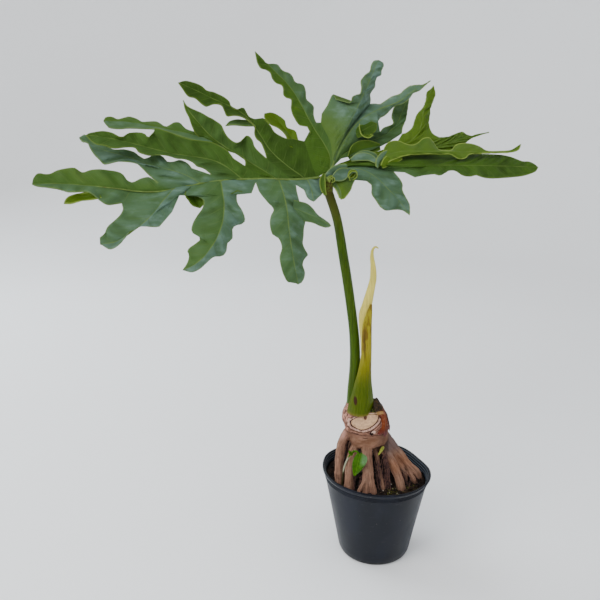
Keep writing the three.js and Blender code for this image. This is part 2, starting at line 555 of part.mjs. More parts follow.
const trunkLumps = (angle, z) => 0.9 * Math.sin(3 * angle + z / 9) + 0.6 * Math.sin(7 * angle - z / 5);

// The trunk's axis leans to the left above its middle.
const trunkAxis = (z) => vector(TRUNK_CENTRE).add(
  new THREE.Vector3(-TRUNK_LEAN * Math.max(0, z - TRUNK_LEAN_FROM), 0, 0));

function trunkBody() {
  const rings = turned(TRUNK_PROFILE, TRUNK_SIDES, trunkLumps);
  rings.flat().forEach((p) => p.add(trunkAxis(p.z)));
  const [bottom, top] = [TRUNK_PROFILE[0][1] - 1, TRUNK_PROFILE.at(-1)[1] + 0.5];
  return skin(rings, trunkAxis(bottom).setZ(bottom), trunkAxis(top).setZ(top));
}

// The block in front of the plane where an old leaf stalk was cut off.
function scarBlock() {
  const block = new THREE.BoxGeometry(60, 60, 20);
  block.deleteAttribute('normal');
  block.deleteAttribute('uv');
  const normal = vector(SCAR_NORMAL).normalize();
  block.applyQuaternion(new THREE.Quaternion().setFromUnitVectors(new THREE.Vector3(0, 0, 1), normal));
  const centre = vector(SCAR_POINT).addScaledVector(normal, 10);
  block.translate(centre.x, centre.y, centre.z);
  return weldedBox(block);
}

function weldedBox(geometry) {
  const p = geometry.attributes.position;
  const corners = new Map();
  const positions = [];
  const remap = [];
  for (let i = 0; i < p.count; i += 1) {
    const key = [p.getX(i), p.getY(i), p.getZ(i)].map((value) => value.toFixed(3)).join();
    if (!corners.has(key)) {
      corners.set(key, corners.size);
      positions.push(p.getX(i), p.getY(i), p.getZ(i));
    }
    remap.push(corners.get(key));
  }
  return meshData(positions, Array.from(geometry.index.array, (i) => remap[i]));
}

function trunkGeometry(cutters) {
  const cut = solid(trunkBody()).subtract(solid(scarBlock()));
  const whole = joined([cut, ...ROOTS.map((root) => solid(rootGeometry(root)))]);
  return geometryOf(cutters.reduce((rest, cutter) => rest.subtract(cutter), whole));
}

// ---- stalk, sheaths and new leaf ----
const stalkGeometry = (grow = 0) => tube(STALK_ROUTE, STALK_RADII, 10, 14, STALK_SQUASH, grow);

const newLeafGeometry = (grow = 0) => tube(
  NEW_LEAF_ROUTE, NEW_LEAF_RADII, 8, 36, NEW_LEAF_SQUASH, grow);

// A thin curved sheet, its rows bowed towards the viewer and closing at a tip.
function sheathGeometry(grow = 0) {
  const across = 6;
  const rows = SHEATH_ROWS.map(([z, left, right, middle, edge]) => {
    const row = [];
    for (let k = 0; k <= across; k += 1) {
      const t = (2 * k) / across - 1;
      const x = (left + right) / 2 + t * ((right - left) / 2 + grow);
      row.push(new THREE.Vector3(x, middle + (edge - middle) * Math.abs(t) ** 2.4, z));
    }
    return row;
  });
  rows[0].forEach((p) => { p.z -= grow; });
  return thickSheet([...rows, [vector(SHEATH_TIP)]], SHEATH_THICKNESS + 2 * grow);
}

// It follows the trunk's lumps, and its lower edge is ragged.
function drySheathGeometry() {
  const across = 8;
  const rows = DRY_SHEATH_ROWS.map(([z, distance, from, to], i) => {
    const row = [];
    for (let k = 0; k <= across; k += 1) {
      const angle = THREE.MathUtils.degToRad(from + ((to - from) * k) / across);
      const ragged = i === 0 ? DRY_SHEATH_RAGGED * Math.sin(k * 2.4) : 0;
      const out = distance + trunkLumps(angle, z);
      const offset = new THREE.Vector3(out * Math.cos(angle), out * Math.sin(angle), z + ragged);
      row.push(trunkAxis(z).add(offset));
    }
    return row;
  });
  return thickSheet(rows, DRY_SHEATH_THICKNESS);
}

// Gives a sheet of rows a thickness; a last row of one point closes it to a tip.
function thickSheet(rows, thickness) {
  const points = rows.flat();
  const starts = [];
  rows.reduce((at, row) => { starts.push(at); return at + row.length; }, 0);
  const triangles = [];
  for (let i = 0; i + 1 < rows.length; i += 1) {
    for (let k = 0; k + 1 < rows[i].length; k += 1) {
      const [a, b] = [starts[i] + k, starts[i] + k + 1];
      if (rows[i + 1].length === 1) {
        triangles.push([a, b, starts[i + 1]]);
      } else {
        const [c, d] = [starts[i + 1] + k, starts[i + 1] + k + 1];
        triangles.push([a, b, d], [a, d, c]);
      }
    }
  }
  return thicken(points, triangles, () => thickness / 2, () => thickness / 2);
}

// Closes a surface into a body: each point moves out both ways along its normal, and the
// open edges get a side wall. Both faces keep the same triangles.
function thicken(points, triangles, above, below) {
  const normals = points.map(() => new THREE.Vector3());
  for (const [a, b, c] of triangles) {
    const side = points[b].clone().sub(points[a]).cross(points[c].clone().sub(points[a]));
    [a, b, c].forEach((i) => normals[i].add(side));
  }
  normals.forEach((normal) => normal.normalize());
  const upper = points.map((p, i) => p.clone().addScaledVector(normals[i], above(i)));
  const lower = points.map((p, i) => p.clone().addScaledVector(normals[i], -below(i)));
  const positions = [...upper, ...lower].flatMap((p) => [p.x, p.y, p.z]);
  const faces = [];
  const open = new Map();
  for (const [a, b, c] of triangles) {
    faces.push(a, b, c, a + points.length, c + points.length, b + points.length);
    for (const [from, to] of [[a, b], [b, c], [c, a]]) {
      if (!open.delete(`${to},${from}`)) {
        open.set(`${from},${to}`, [from, to]);
      }
    }
  }
  for (const [from, to] of open.values()) {
    faces.push(from, from + points.length, to + points.length, from, to + points.length, to);
  }
  return outward(meshData(positions, faces));
}

// ---- the leaf blade ----
const yaw = THREE.MathUtils.degToRad(LEAF_YAW);
const rise = THREE.MathUtils.degToRad(LEAF_RISE);
const ALONG = new THREE.Vector3(-Math.cos(yaw), -Math.sin(yaw), Math.sin(rise)).normalize();
const BACK = new THREE.Vector3(-Math.sin(yaw), Math.cos(yaw), 0);
const UP = new THREE.Vector3(0, 0, 1);
const EYE = vector(FRONT_VIEW);

// A point of the blade from its place in the drawing; "sink" is mm further along the sight line.
function bladePoint(u, v, sink, nearSlope) {
  const slope = THREE.MathUtils.degToRad(v < 0 ? nearSlope : FAR_SLOPE);
  const flat = vector(LEAF_BASE).addScaledVector(ALONG, u).addScaledVector(BACK, v * Math.cos(slope));
  flat.addScaledVector(UP, v * Math.sin(slope));
  const sight = flat.clone().sub(EYE);
  return flat.addScaledVector(sight.normalize(), sink);
}

// A cubic that starts at one value, leans to two others and ends at a fourth.
const ease = (a, b, c, d, q) => a * (1 - q) ** 3 + 3 * b * q * (1 - q) ** 2 + 3 * c * q * q * (1 - q)
  + d * q ** 3;

// One edge of a lobe: points at even steps, first down the web, then round the free edge.
function edgeLine(web, margin, tip, freeSteps) {
  const line = [];
  if (web) {
    const webCurve = route(web);
    for (let i = 0; i < WEB_STEPS; i += 1) {
      line.push({ at: webCurve.getPointAt(i / WEB_STEPS), free: 0, web: i / WEB_STEPS });
    }
  }
  const free = route([...(web ? [web.at(-1)] : []), ...margin, tip]);
  for (let i = 0; i <= freeSteps; i += 1) {
    line.push({ at: free.getPointAt(i / freeSteps), free: i / freeSteps, web: 1 });
  }
  return line;
}

// Rows of points over a lobe, from its root to its tip, each from the fore edge over the vein
// to the aft edge. The last row is the tip alone.
function lobeRows(lobe, webs, number, root) {
  const veinCurve = route(lobe.vein);
  const tip = lobe.vein.at(-1);
  const length = veinCurve.getLength();
  const freeSteps = Math.max(LEAST_ROWS, Math.round(length / ROW_PITCH));
  const steps = freeSteps + (webs ? WEB_STEPS : 0);
  const edges = ['fore', 'aft'].map(
    (side, k) => lobe[side] && edgeLine(webs?.[k], lobe[side], tip, freeSteps));
  const webLengths = (webs ?? []).map((web) => route(web).getLength());
  const webShare = webs ? Math.min(0.55, (0.55 * (webLengths[0] + webLengths[1])) / length) : 0;
  const rows = [];
  for (let i = 0; i < steps; i += 1) {
    const free = webs ? (i - WEB_STEPS) / freeSteps : i / freeSteps;
    const s = free < 0 ? (webShare * i) / WEB_STEPS : webShare + (1 - webShare) * free;
    const vein = veinCurve.getPointAt(s);
    const veinSink = ease(root, root + lobe.sink[0], root + lobe.sink[1], root + lobe.sink[2], s);
    const row = [];
    edges.forEach((edge, k) => {
      if (!edge) {
        return;
      }
      const { at, free: along, web } = edge[i];
      const [near, far] = lobe[k === 0 ? 'foreSink' : 'aftSink'];
      const end = root + lobe.sink[2];
      const ruffle = RUFFLE * Math.sin((2 * Math.PI * along * length) / RUFFLE_PITCH + number + 2 * k)
        * Math.sin(Math.PI * along);
      const edgeSink = web < 1 ? 0 : ease(root, root + near, root + far, end, along) + ruffle;
      const side = (webs ? COLUMNS : SIDE_LOBE_COLUMNS).map((t) => ({
        t,
        u: vein.x + (at.x - vein.x) * t,
        v: vein.y + (at.y - vein.y) * t,
        sink: veinSink + (edgeSink - veinSink) * t ** 1.4,
        web: t === 1 && webs && i <= WEB_STEPS ? [k, i] : null,
      }));
      row.push(...(k === 0 ? side : side.reverse().slice(edges[0] ? 1 : 0)));
    });
    rows.push(row);
  }
  rows.push([{ t: 0, u: tip[0], v: tip[1], sink: root + lobe.sink[2], web: null }]);
  return rows;
}

// Lobes side by side along a rib, sharing the points of the webs between them.
function lobeSheet(lobes, webs, nearSlope, firstNumber, root = 0) {
  const points = [];
  const keels = [];
  const triangles = [];
  const shared = new Map();
  const add = (place, foreWeb) => {
    const key = place.web && `${foreWeb + place.web[0]}:${place.web[1]}`;
    if (key && shared.has(key)) {
      return shared.get(key);
    }
    points.push(bladePoint(place.u, place.v, place.sink, nearSlope));
    keels.push(place.t === 0 ? RIB_KEEL : 0);
    if (key) {
      shared.set(key, points.length - 1);
    }
    return points.length - 1;
  };
  lobes.forEach((lobe, n) => {
    const foreWeb = n - (lobes[0].fore ? 0 : 1);
    const pair = webs && [webs[foreWeb] ?? webs[foreWeb + 1], webs[foreWeb + 1]];
    const rows = lobeRows(lobe, pair, firstNumber + n, root).map(
      (row) => row.map((place) => add(place, foreWeb)));
    for (let i = 0; i + 1 < rows.length; i += 1) {
      for (let k = 0; k + 1 < rows[i].length; k += 1) {
        const [a, b] = [rows[i][k], rows[i][k + 1]];
        const [c, d] = rows[i + 1].length === 1 ? [rows[i + 1][0], rows[i + 1][0]]
          : [rows[i + 1][k], rows[i + 1][k + 1]];
        [[a, b, d], [a, d, c]].forEach((face) => {
          if (new Set(face).size === 3) {
            triangles.push(face);
          }
        });
      }
    }
  });
  return { points, triangles, keels };
}

// How far behind the drawing the blade lies at a place in it, seen from the front.
function sinkAt([u, v], sheets) {
  const flat = bladePoint(u, v, 0, NEAR_SLOPE);
  const distance = flat.distanceTo(EYE);
  const sight = new THREE.Ray(EYE, flat.sub(EYE).normalize());
  const hit = new THREE.Vector3();
  let sink = Infinity;
  for (const { points, triangles } of sheets) {
    for (const [a, b, c] of triangles) {
      if (sight.intersectTriangle(points[a], points[b], points[c], false, hit)) {
        sink = Math.min(sink, hit.distanceTo(EYE) - distance);
      }
    }
  }
  return sink;
}

// Keels belong under the blade: the sheet's faces are turned to face the front view.
function sheetSolid({ points, triangles, keels }) {
  let facing = 0;
  for (const [a, b, c] of triangles) {
    const side = points[b].clone().sub(points[a]).cross(points[c].clone().sub(points[a]));
    facing += side.dot(EYE.clone().sub(points[a]));
  }
  const turnedFaces = facing > 0 ? triangles : triangles.map(([a, b, c]) => [a, c, b]);
  const half = BLADE_THICKNESS / 2;
  return solid(thicken(points, turnedFaces, () => half, (i) => half + keels[i]));
}

function ribSolid([thick, thin, points]) {
  const path = points.map(([u, v]) => bladePoint(u, v, 1, NEAR_SLOPE).toArray());
  return solid(tube(path, [thick, (thick + thin) / 2.2, thin], 5, 2 * points.length));
}

// The swelling where the ribs meet on top of the leaf stalk.
function ribNode() {
  const foot = vector(STALK_ROUTE.at(-1));
  const direction = foot.clone().sub(vector(STALK_ROUTE.at(-2))).normalize();
  const points = [0.45, 5, 11].map((distance) => foot.clone().addScaledVector(direction, distance).toArray());
  return solid(tube(points, [4.5, 4.7, 3.4], 8, 4));
}

function bladeGeometry() {
  const sheets = [
    lobeSheet(FAR_LOBES, FAR_WEBS, NEAR_SLOPE, 0),
    lobeSheet(NEAR_LOBES, NEAR_WEBS, NEAR_SLOPE, 10),
    lobeSheet(BACK_LOBES, BACK_WEBS, FAR_SLOPE, 20),
  ];
  const sideSheets = SIDE_LOBES.map(
    (lobe, n) => lobeSheet([lobe], null, NEAR_SLOPE, 30 + n, sinkAt(lobe.vein[0], sheets)));
  const whole = joined([ribNode(), ...RIBS.map(ribSolid), ...[...sheets, ...sideSheets].map(sheetSolid)]);
  const pieces = whole.subtract(solid(stalkGeometry(GAP))).decompose();
  return geometryOf(pieces.sort((a, b) => b.volume() - a.volume())[0]);
}

// ---- seedling and bud ----
function seedlingGeometry() {
  const [left, right] = [route(SEEDLING_LEFT), route(SEEDLING_RIGHT)];
  const rows = [];
  for (let i = 0; i < 6; i += 1) {
    const q = i / 6;
    const [a, b] = [left.getPointAt(q), right.getPointAt(q)];
    const centre = a.clone().add(b).multiplyScalar(0.5);
    rows.push([a, centre, b].map((p, k) => new THREE.Vector3(
      p.x, SEEDLING_Y + (k === 1 ? 0 : -1.4) - 0.12 * (SEEDLING_TOP[1] - p.y), p.y)));
  }
  const tip = new THREE.Vector3(SEEDLING_TIP[0], SEEDLING_Y - 3, SEEDLING_TIP[1]);
  const leaf = solid(thickSheet([...rows, [tip]], BLADE_THICKNESS));
  const stem = solid(tube(SEEDLING_ROUTE, [SEEDLING_RADIUS, SEEDLING_RADIUS], 6, 14));
  const shoot = [[-32, -25.6, 129.5], [-31.5, -28, 133], [-33.5, -29, 135.5]];
  return geometryOf(joined([stem, leaf, solid(tube(shoot, [0.9, 1.1, 0.4], 6, 4))]));
}

// ---- assembly ----
function named(name, geometry, color, roughness) {
  const material = new THREE.MeshStandardMaterial({ color, roughness, metalness: 0 });
  const mesh = new THREE.Mesh(geometry, material);
  mesh.name = name;
  return mesh;
}

const rootCutters = ROOTS.map((root) => solid(rootGeometry(root, GAP)));
const seedlingCutter = solid(tube(SEEDLING_ROUTE, [1.3, 1.3], 6, 14));
const budGeometry = (grow = 0) => tube(BUD_ROUTE, BUD_RADII, 6, 5, 1, grow);
const standing = [
  stalkGeometry(GAP), newLeafGeometry(GAP), sheathGeometry(GAP), budGeometry(GAP),
].map(solid);

const plant = new THREE.Group();
plant.add(
  named('nursery_pot', potGeometry(), 0x24272a, 0.6),
  named('potting_soil', soilGeometry([...rootCutters, seedlingCutter]), 0x2a211b, 0.95),
  named('trunk_with_roots', trunkGeometry(standing), 0x9b7b62, 0.8),
  named('leaf_stalk', stalkGeometry(), 0x3f6420, 0.4),
  named('leaf_blade', bladeGeometry(), 0x3d5f26, 0.3),
  named('green_sheath', sheathGeometry(), 0x7c8f24, 0.45),
  named('rolled_new_leaf', newLeafGeometry(), 0xd3cf8e, 0.5),
  named('dry_sheath', drySheathGeometry(), 0x7a3f22, 0.7),
  named('seedling', seedlingGeometry(), 0x4f9a2c, 0.45),
  named('root_bud', budGeometry(), 0x9aa23c, 0.5),
);

export default plant;
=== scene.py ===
import math

import bpy
import numpy as np
from bpy.props import FloatProperty, FloatVectorProperty, PointerProperty
from mathutils import Euler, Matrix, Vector


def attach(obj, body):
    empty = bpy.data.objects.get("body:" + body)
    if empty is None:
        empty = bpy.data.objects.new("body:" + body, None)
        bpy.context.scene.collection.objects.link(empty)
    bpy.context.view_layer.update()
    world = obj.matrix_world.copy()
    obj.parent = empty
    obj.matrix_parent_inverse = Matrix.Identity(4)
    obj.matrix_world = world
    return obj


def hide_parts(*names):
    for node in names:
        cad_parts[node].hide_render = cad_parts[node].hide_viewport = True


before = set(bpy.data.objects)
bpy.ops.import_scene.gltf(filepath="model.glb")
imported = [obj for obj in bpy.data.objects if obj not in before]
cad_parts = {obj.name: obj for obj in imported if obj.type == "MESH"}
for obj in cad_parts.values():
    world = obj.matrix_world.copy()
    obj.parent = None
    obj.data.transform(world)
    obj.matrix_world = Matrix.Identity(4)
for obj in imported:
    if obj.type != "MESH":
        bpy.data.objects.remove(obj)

bl_info = {
    "name": "Potted Philodendron",
    "version": (1, 0, 0),
    "blender": (4, 5, 0),
    "location": "View3D > Sidebar > Philodendron",
    "description": "Builds a young split-leaf philodendron on stilt roots in a black nursery pot",
    "category": "Add Mesh",
}

# Lengths inside the functions are millimetres: +Z up, origin at the centre of the pot's base.
MM = 0.001


# ---- sizes and colours a user would change ----
def length(label, about, size):
    return FloatProperty(name=label, description=about, default=size, unit="LENGTH", precision=4)


def colour(label, about, value):
    return FloatVectorProperty(name=label, description=about, default=value, subtype="COLOR",
                               size=3, min=0, max=1)


class PotSettings(bpy.types.PropertyGroup):
    """Sizes and colours of the pot and the soil in it."""
    height: length("Height", "Height of the pot", 0.1)
    rim: length("Rim radius", "Mean outer radius at the rim", 0.058)
    base: length("Base radius", "Outer radius where the wall meets the foot", 0.0396)
    wall: length("Wall", "Thickness of the wall", 0.0011)
    soil_level: length("Soil level", "Height of the soil over the surface the pot stands on", 0.09)
    plastic: colour("Plastic", "Colour of the pot", (0.0058, 0.007, 0.0115))
    soil: colour("Soil", "Colour of the damp soil", (0.011, 0.007, 0.0055))
    moss: colour("Moss", "Colour of the moss at the front", (0.09, 0.085, 0.01))


class StemSettings(bpy.types.PropertyGroup):
    """Sizes and colours of the trunk, its roots, the stalk and the sheaths."""
    voxel: length("Fineness", "Size of the cells that the trunk and roots are fused with", 0.0007)
    root_skin: colour("Root skin", "Colour of the stilt roots", (0.19, 0.1, 0.065))
    trunk_skin: colour("Trunk skin", "Colour of the trunk's fibrous skin", (0.33, 0.165, 0.12))
    scar: colour("Leaf scar", "Colour of the cut face", (0.55, 0.345, 0.2))
    stalk: colour("Stalk", "Colour of the leaf stalk", (0.031, 0.064, 0.002))
    sheath: colour("Sheath", "Colour of the green sheath", (0.045, 0.072, 0.0005))
    new_leaf: colour("New leaf", "Colour of the rolled new leaf", (0.58, 0.49, 0.1))
    dry_skin: colour("Dry sheath", "Colour of the dry papery sheath", (0.13, 0.019, 0.006))


class LeafSettings(bpy.types.PropertyGroup):
    """Sizes and colours of the large leaf and the seedling."""
    blade: length("Blade", "Thickness of the leaf blade", 0.0008)
    rib: length("Rib", "Radius of the midrib at the stalk", 0.0014)
    ruffle: length("Ruffle", "Height of the waves along the lobes' edges", 0.0018)
    quilting: length("Quilting", "Height of the swellings between side veins", 0.0008)
    upper: colour("Upper face", "Colour of the leaf's upper face", (0.039, 0.085, 0.009))
    young: colour("Young green", "Colour of the leaf's yellow-green parts", (0.062, 0.112, 0.006))
    # This colour is a painted bluish sheen: reflected light painted onto the leaf.
    painted_sheen: colour("Bloom", "Colour of the bluish bloom on the leaf", (0.074, 0.132, 0.098))
    under: colour("Underside", "Colour of the leaf's underside", (0.055, 0.1, 0.016))
    vein: colour("Veins", "Colour of the ribs and veins", (0.1, 0.155, 0.035))
    seedling: colour("Seedling", "Colour of the seedling's leaf", (0.034, 0.1, 0.0005))


class StageSettings(bpy.types.PropertyGroup):
    """The floor under the plant."""
    floor: colour("Floor", "Colour of the floor and backdrop", (0.9, 0.9, 0.9))


# ---- curves and fields ----
def spread(points, steps=24):
    """A smooth line through the points. Between two points it is a cubic whose end slopes come
    from the neighbouring points, with knots spaced by the square root of the distance."""
    p = np.asarray(points, float)
    p = np.vstack([2 * p[0] - p[1], p, 2 * p[-1] - p[-2]])
    gap = np.sqrt(np.linalg.norm(np.diff(p, axis=0), axis=1))[:, None]
    before, here, after = gap[:-2], gap[1:-1], gap[2:]
    p0, p1, p2, p3 = p[:-3], p[1:-2], p[2:-1], p[3:]
    leave = ((p1 - p0) / before - (p2 - p0) / (before + here) + (p2 - p1) / here) * here
    arrive = ((p2 - p1) / here - (p3 - p1) / (here + after) + (p3 - p2) / after) * here
    q = (np.arange(steps) / steps)[None, :, None]
    line = ((2 * q**3 - 3 * q**2 + 1) * p1[:, None] + (q**3 - 2 * q**2 + q) * leave[:, None]
            + (3 * q**2 - 2 * q**3) * p2[:, None] + (q**3 - q**2) * arrive[:, None])
    return np.vstack([line.reshape(-1, p.shape[1]), p[-2]])


def along(points, at):
    """Places on the smooth line through the points, at shares 0 to 1 of its length."""
    line = spread(points)
    run = np.concatenate([[0], np.cumsum(np.linalg.norm(np.diff(line, axis=0), axis=1))])
    at = np.asarray(at, float) * run[-1]
    return np.stack([np.interp(at, run, line[:, k]) for k in range(line.shape[1])], axis=-1)


def reach(points):
    """Length of the smooth line through the points."""
    return np.linalg.norm(np.diff(spread(points), axis=0), axis=1).sum()


def steps_between(values, at):
    """The listed values, evenly spaced from 0 to 1, with straight lines between them."""
    return np.interp(at, np.linspace(0, 1, len(values)), values)


def lean(a, b, c, d, q):
    """A cubic that starts at a, leans to b and c, and ends at d."""
    return a * (1 - q)**3 + 3 * b * q * (1 - q)**2 + 3 * c * q * q * (1 - q) + d * q**3


def bell(x, middle, width):
    """1 in the middle, falling away as exp(-((x - middle) / width)²)."""
    return np.exp(-((x - middle) / width)**2)


def clouds(points, cell, seed):
    """A smooth random field from -1 to 1: random values on a lattice of that cell, blended
    between its corners by 3q² - 2q³."""
    lattice = np.random.default_rng(seed).uniform(-1, 1, (32, 32, 32))
    place = np.asarray(points, float) / cell
    low = np.floor(place).astype(int)
    q = place - low
    q = q * q * (3 - 2 * q)
    total = 0
    for corner in np.ndindex(2, 2, 2):
        step = np.array(corner)
        weight = np.prod(np.where(step == 1, q, 1 - q), axis=-1)
        i = (low + step) % 32
        total = total + weight * lattice[i[..., 0], i[..., 1], i[..., 2]]
    return total


# ---- surfaces ----
def circle(sides):
    """Even angles once round."""
    return np.linspace(0, 2 * np.pi, sides, endpoint=False)


def frames(path, across):
    """Three directions at each point of a path: ahead, "across" made square to it, and square
    to both."""
    ahead = np.gradient(path, axis=0)
    ahead /= np.linalg.norm(ahead, axis=1, keepdims=True)
    across = np.asarray(across, float)
    first = across - ahead * (ahead @ across)[:, None]
    first /= np.linalg.norm(first, axis=1, keepdims=True)
    return ahead, first, np.cross(ahead, first)


def grid_cells(rows, columns, loop=False):
    """Two triangles for each cell of a grid; a loop joins the last column to the first."""
    i = np.arange(rows * columns).reshape(rows, columns)
    if loop:
        i = np.hstack([i, i[:, :1]])
    a, b, c, d = [part.ravel() for part in (i[:-1, :-1], i[:-1, 1:], i[1:, 1:], i[1:, :-1])]
    return np.concatenate([np.stack([a, b, c], 1), np.stack([a, c, d], 1)])


def weld(points, cells):
    """Joins points that share a place to a tenth of a micrometre, and drops the triangles that
    close up. Gives the points, the triangles and which triangles were kept."""
    key = np.round(points * 1e4).astype(np.int64)
    _, first, where = np.unique(key, axis=0, return_index=True, return_inverse=True)
    cells = where.reshape(-1)[cells]
    kept = (cells != np.roll(cells, 1, axis=1)).all(axis=1)
    return points[first], cells[kept], kept


def outward(points, cells):
    """A closed skin with its faces outward: its volume, a sixth of the sum of a·(b×c), is
    made positive."""
    a, b, c = points[cells.T]
    return cells if np.einsum("ij,ij", a, np.cross(b, c)) > 0 else cells[:, ::-1]


def skin(grid, loop_rows=False):
    """A closed body from a grid whose columns run round in a loop. Its first and last rows
    either each shrink to one point or, for a loop of rows, join each other."""
    rows, columns = grid.shape[:2]
    if loop_rows:
        grid = np.concatenate([grid, grid[:1]])
        rows += 1
    points, cells, _ = weld(grid.reshape(-1, 3), grid_cells(rows, columns, loop=True))
    return points, outward(points, cells), {}


def thicken(points, cells, above, below):
    """Gives a sheet a body: one copy moves out along the normals, a mirrored one moves in, and
    a wall closes each open edge. Gives points, triangles, the sheet corner that each corner
    came from, and each corner's side: 0 outer, 1 inner, 0.5 rim."""
    a, b, c = points[cells.T]
    face = np.cross(b - a, c - a)
    normal = np.zeros_like(points)
    for k in range(3):
        np.add.at(normal, cells[:, k], face)
    normal /= np.linalg.norm(normal, axis=1, keepdims=True)
    count = len(points)
    corner = np.arange(cells.size).reshape(-1, 3)
    turn = [[0, 1], [1, 2], [2, 0]]
    edges = np.concatenate([cells[:, pair] for pair in turn])
    edge_corners = np.concatenate([corner[:, pair] for pair in turn])
    open_edge = ~np.isin(edges[:, 0] * count + edges[:, 1], edges[:, 1] * count + edges[:, 0])
    start, end = edges[open_edge].T
    wall = np.concatenate([np.stack([start, start + count, end + count], 1),
                           np.stack([start, end + count, end], 1)])
    start, end = edge_corners[open_edge].T
    wall_corner = np.concatenate([np.stack([start, start, end], 1), np.stack([start, end, end], 1)])
    both = np.vstack([points + normal * np.reshape(above, (-1, 1)),
                      points - normal * np.reshape(below, (-1, 1))])
    whole = np.concatenate([cells, cells[:, ::-1] + count, wall])
    source = np.concatenate([corner, corner[:, ::-1], wall_corner]).ravel()
    side = np.repeat([0, 1, 0.5], [cells.size, cells.size, wall.size])
    return both, whole, source, side


def slab(grid, half):
    """A grid of points as a closed sheet, "half" mm thick on each side."""
    points, cells, _ = weld(grid.reshape(-1, 3), grid_cells(*grid.shape[:2]))
    return *thicken(points, cells, half, half)[:2], {}


def tube(path, radius, sides, across=(0, 1, 0), squash=1.0):
    """Rings round a path: at angle a of a ring the point is path + radius·(cos a·first +
    sin a·second), in the directions of its frames. Radius is one number a row, or rows by
    sides. Both ends close to a point."""
    path = np.asarray(path, float)
    _, first, second = frames(path, across)
    angle = circle(sides)[None, :, None]
    radius = np.broadcast_to(np.reshape(radius, (len(path), -1)), (len(path), sides))[:, :, None]
    offset = radius * (np.cos(angle) * first[:, None] + np.sin(angle) * second[:, None])
    rings = path[:, None] + offset * (1, squash, 1)
    ends = [np.repeat(path[i][None, None], sides, axis=1) for i in (0, -1)]
    return skin(np.concatenate([ends[0], rings, ends[1]]))


def rod(route, radii, rows, sides, rounded, **shape):
    """A tube along the smooth line through the route. Its radii are evenly spaced along it."""
    at = np.linspace(0, 1, rows)
    radius = steps_between(radii, at) * round_ends(rows, rounded)
    return tube(along(route, at), radius, sides, **shape)


def round_ends(rows, share):
    """A radius share for each row that rounds both ends of a tube: sqrt(1 - (1 - x)²), where x
    grows from 0 to 1 over that share of the rows at each end."""
    q = np.linspace(0, 1, rows)
    x = np.clip(np.minimum(q, 1 - q) / share, 0, 1)
    return np.sqrt(np.maximum(1 - (1 - x)**2, 0.02))


def grains(places, sizes, seed, squash=(1, 1, 1)):
    """Small twenty-sided grains at the places, each turned and stretched at random."""
    random = np.random.default_rng(seed)
    golden = (1 + 5**0.5) / 2
    base = np.array([(x, y * golden, 0) for x in (-1, 1) for y in (-1, 1)])
    base = np.vstack([base, np.roll(base, 1, axis=1), np.roll(base, 2, axis=1)])
    base /= np.linalg.norm(base[0])
    near = np.linalg.norm(base[:, None] - base[None], axis=2) < 1.2
    faces = np.array([(i, j, k) for i in range(12) for j in range(i + 1, 12)
                      for k in range(j + 1, 12) if near[i, j] and near[j, k] and near[i, k]])
    flip = np.einsum("ij,ij->i", base[faces[:, 0]],
                     np.cross(base[faces[:, 1]], base[faces[:, 2]])) < 0
    faces[flip] = faces[flip][:, ::-1]
    count = len(places)
    turned, _ = np.linalg.qr(random.normal(size=(count, 3, 3)))
    turned[np.linalg.det(turned) < 0, :, 0] *= -1
    stretch = random.uniform(0.6, 1.3, (count, 3)) * squash * np.reshape(sizes, (-1, 1))
    points = np.einsum("nij,nkj->nki", turned, base[None] * stretch[:, None]) + places[:, None]
    cells = faces[None] + 12 * np.arange(count)[:, None, None]
    return points.reshape(-1, 3), cells.reshape(-1, 3), {}


def piece(name, parts, material, nodes=(), sharp=40):
    """One object from closed parts, each (points in mm, triangles, corner attributes)."""
    start, points, cells, extra = 0, [], [], {}
    for part_points, part_cells, attributes in parts:
        points.append(part_points)
        cells.append(part_cells + start)
        start += len(part_points)
        for key, values in attributes.items():
            extra.setdefault(key, []).append(values)
    points, cells = np.vstack(points), np.vstack(cells)
    mesh = bpy.data.meshes.new(name)
    mesh.vertices.add(len(points))
    mesh.vertices.foreach_set("co", (points * MM).ravel())
    mesh.loops.add(cells.size)
    mesh.loops.foreach_set("vertex_index", cells.ravel())
    mesh.polygons.add(len(cells))
    mesh.polygons.foreach_set("loop_start", np.arange(0, cells.size, 3))
    mesh.update(calc_edges=True)
    for key, values in extra.items():
        layer = mesh.attributes.new(key, "FLOAT_VECTOR", "CORNER")
        layer.data.foreach_set("vector", np.vstack(values).ravel())
    mesh.shade_smooth()
    mesh.set_sharp_from_angle(angle=math.radians(sharp))
    return placed(bpy.data.objects.new(name, mesh), material, nodes)


def placed(thing, material, nodes=()):
    """Links a piece, gives it its material, and ties it to the model."""
    bpy.context.scene.collection.objects.link(thing)
    thing.data.materials.clear()
    thing.data.materials.append(material)
    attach(thing, "root")
    if nodes:
        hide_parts(*nodes)
    return thing


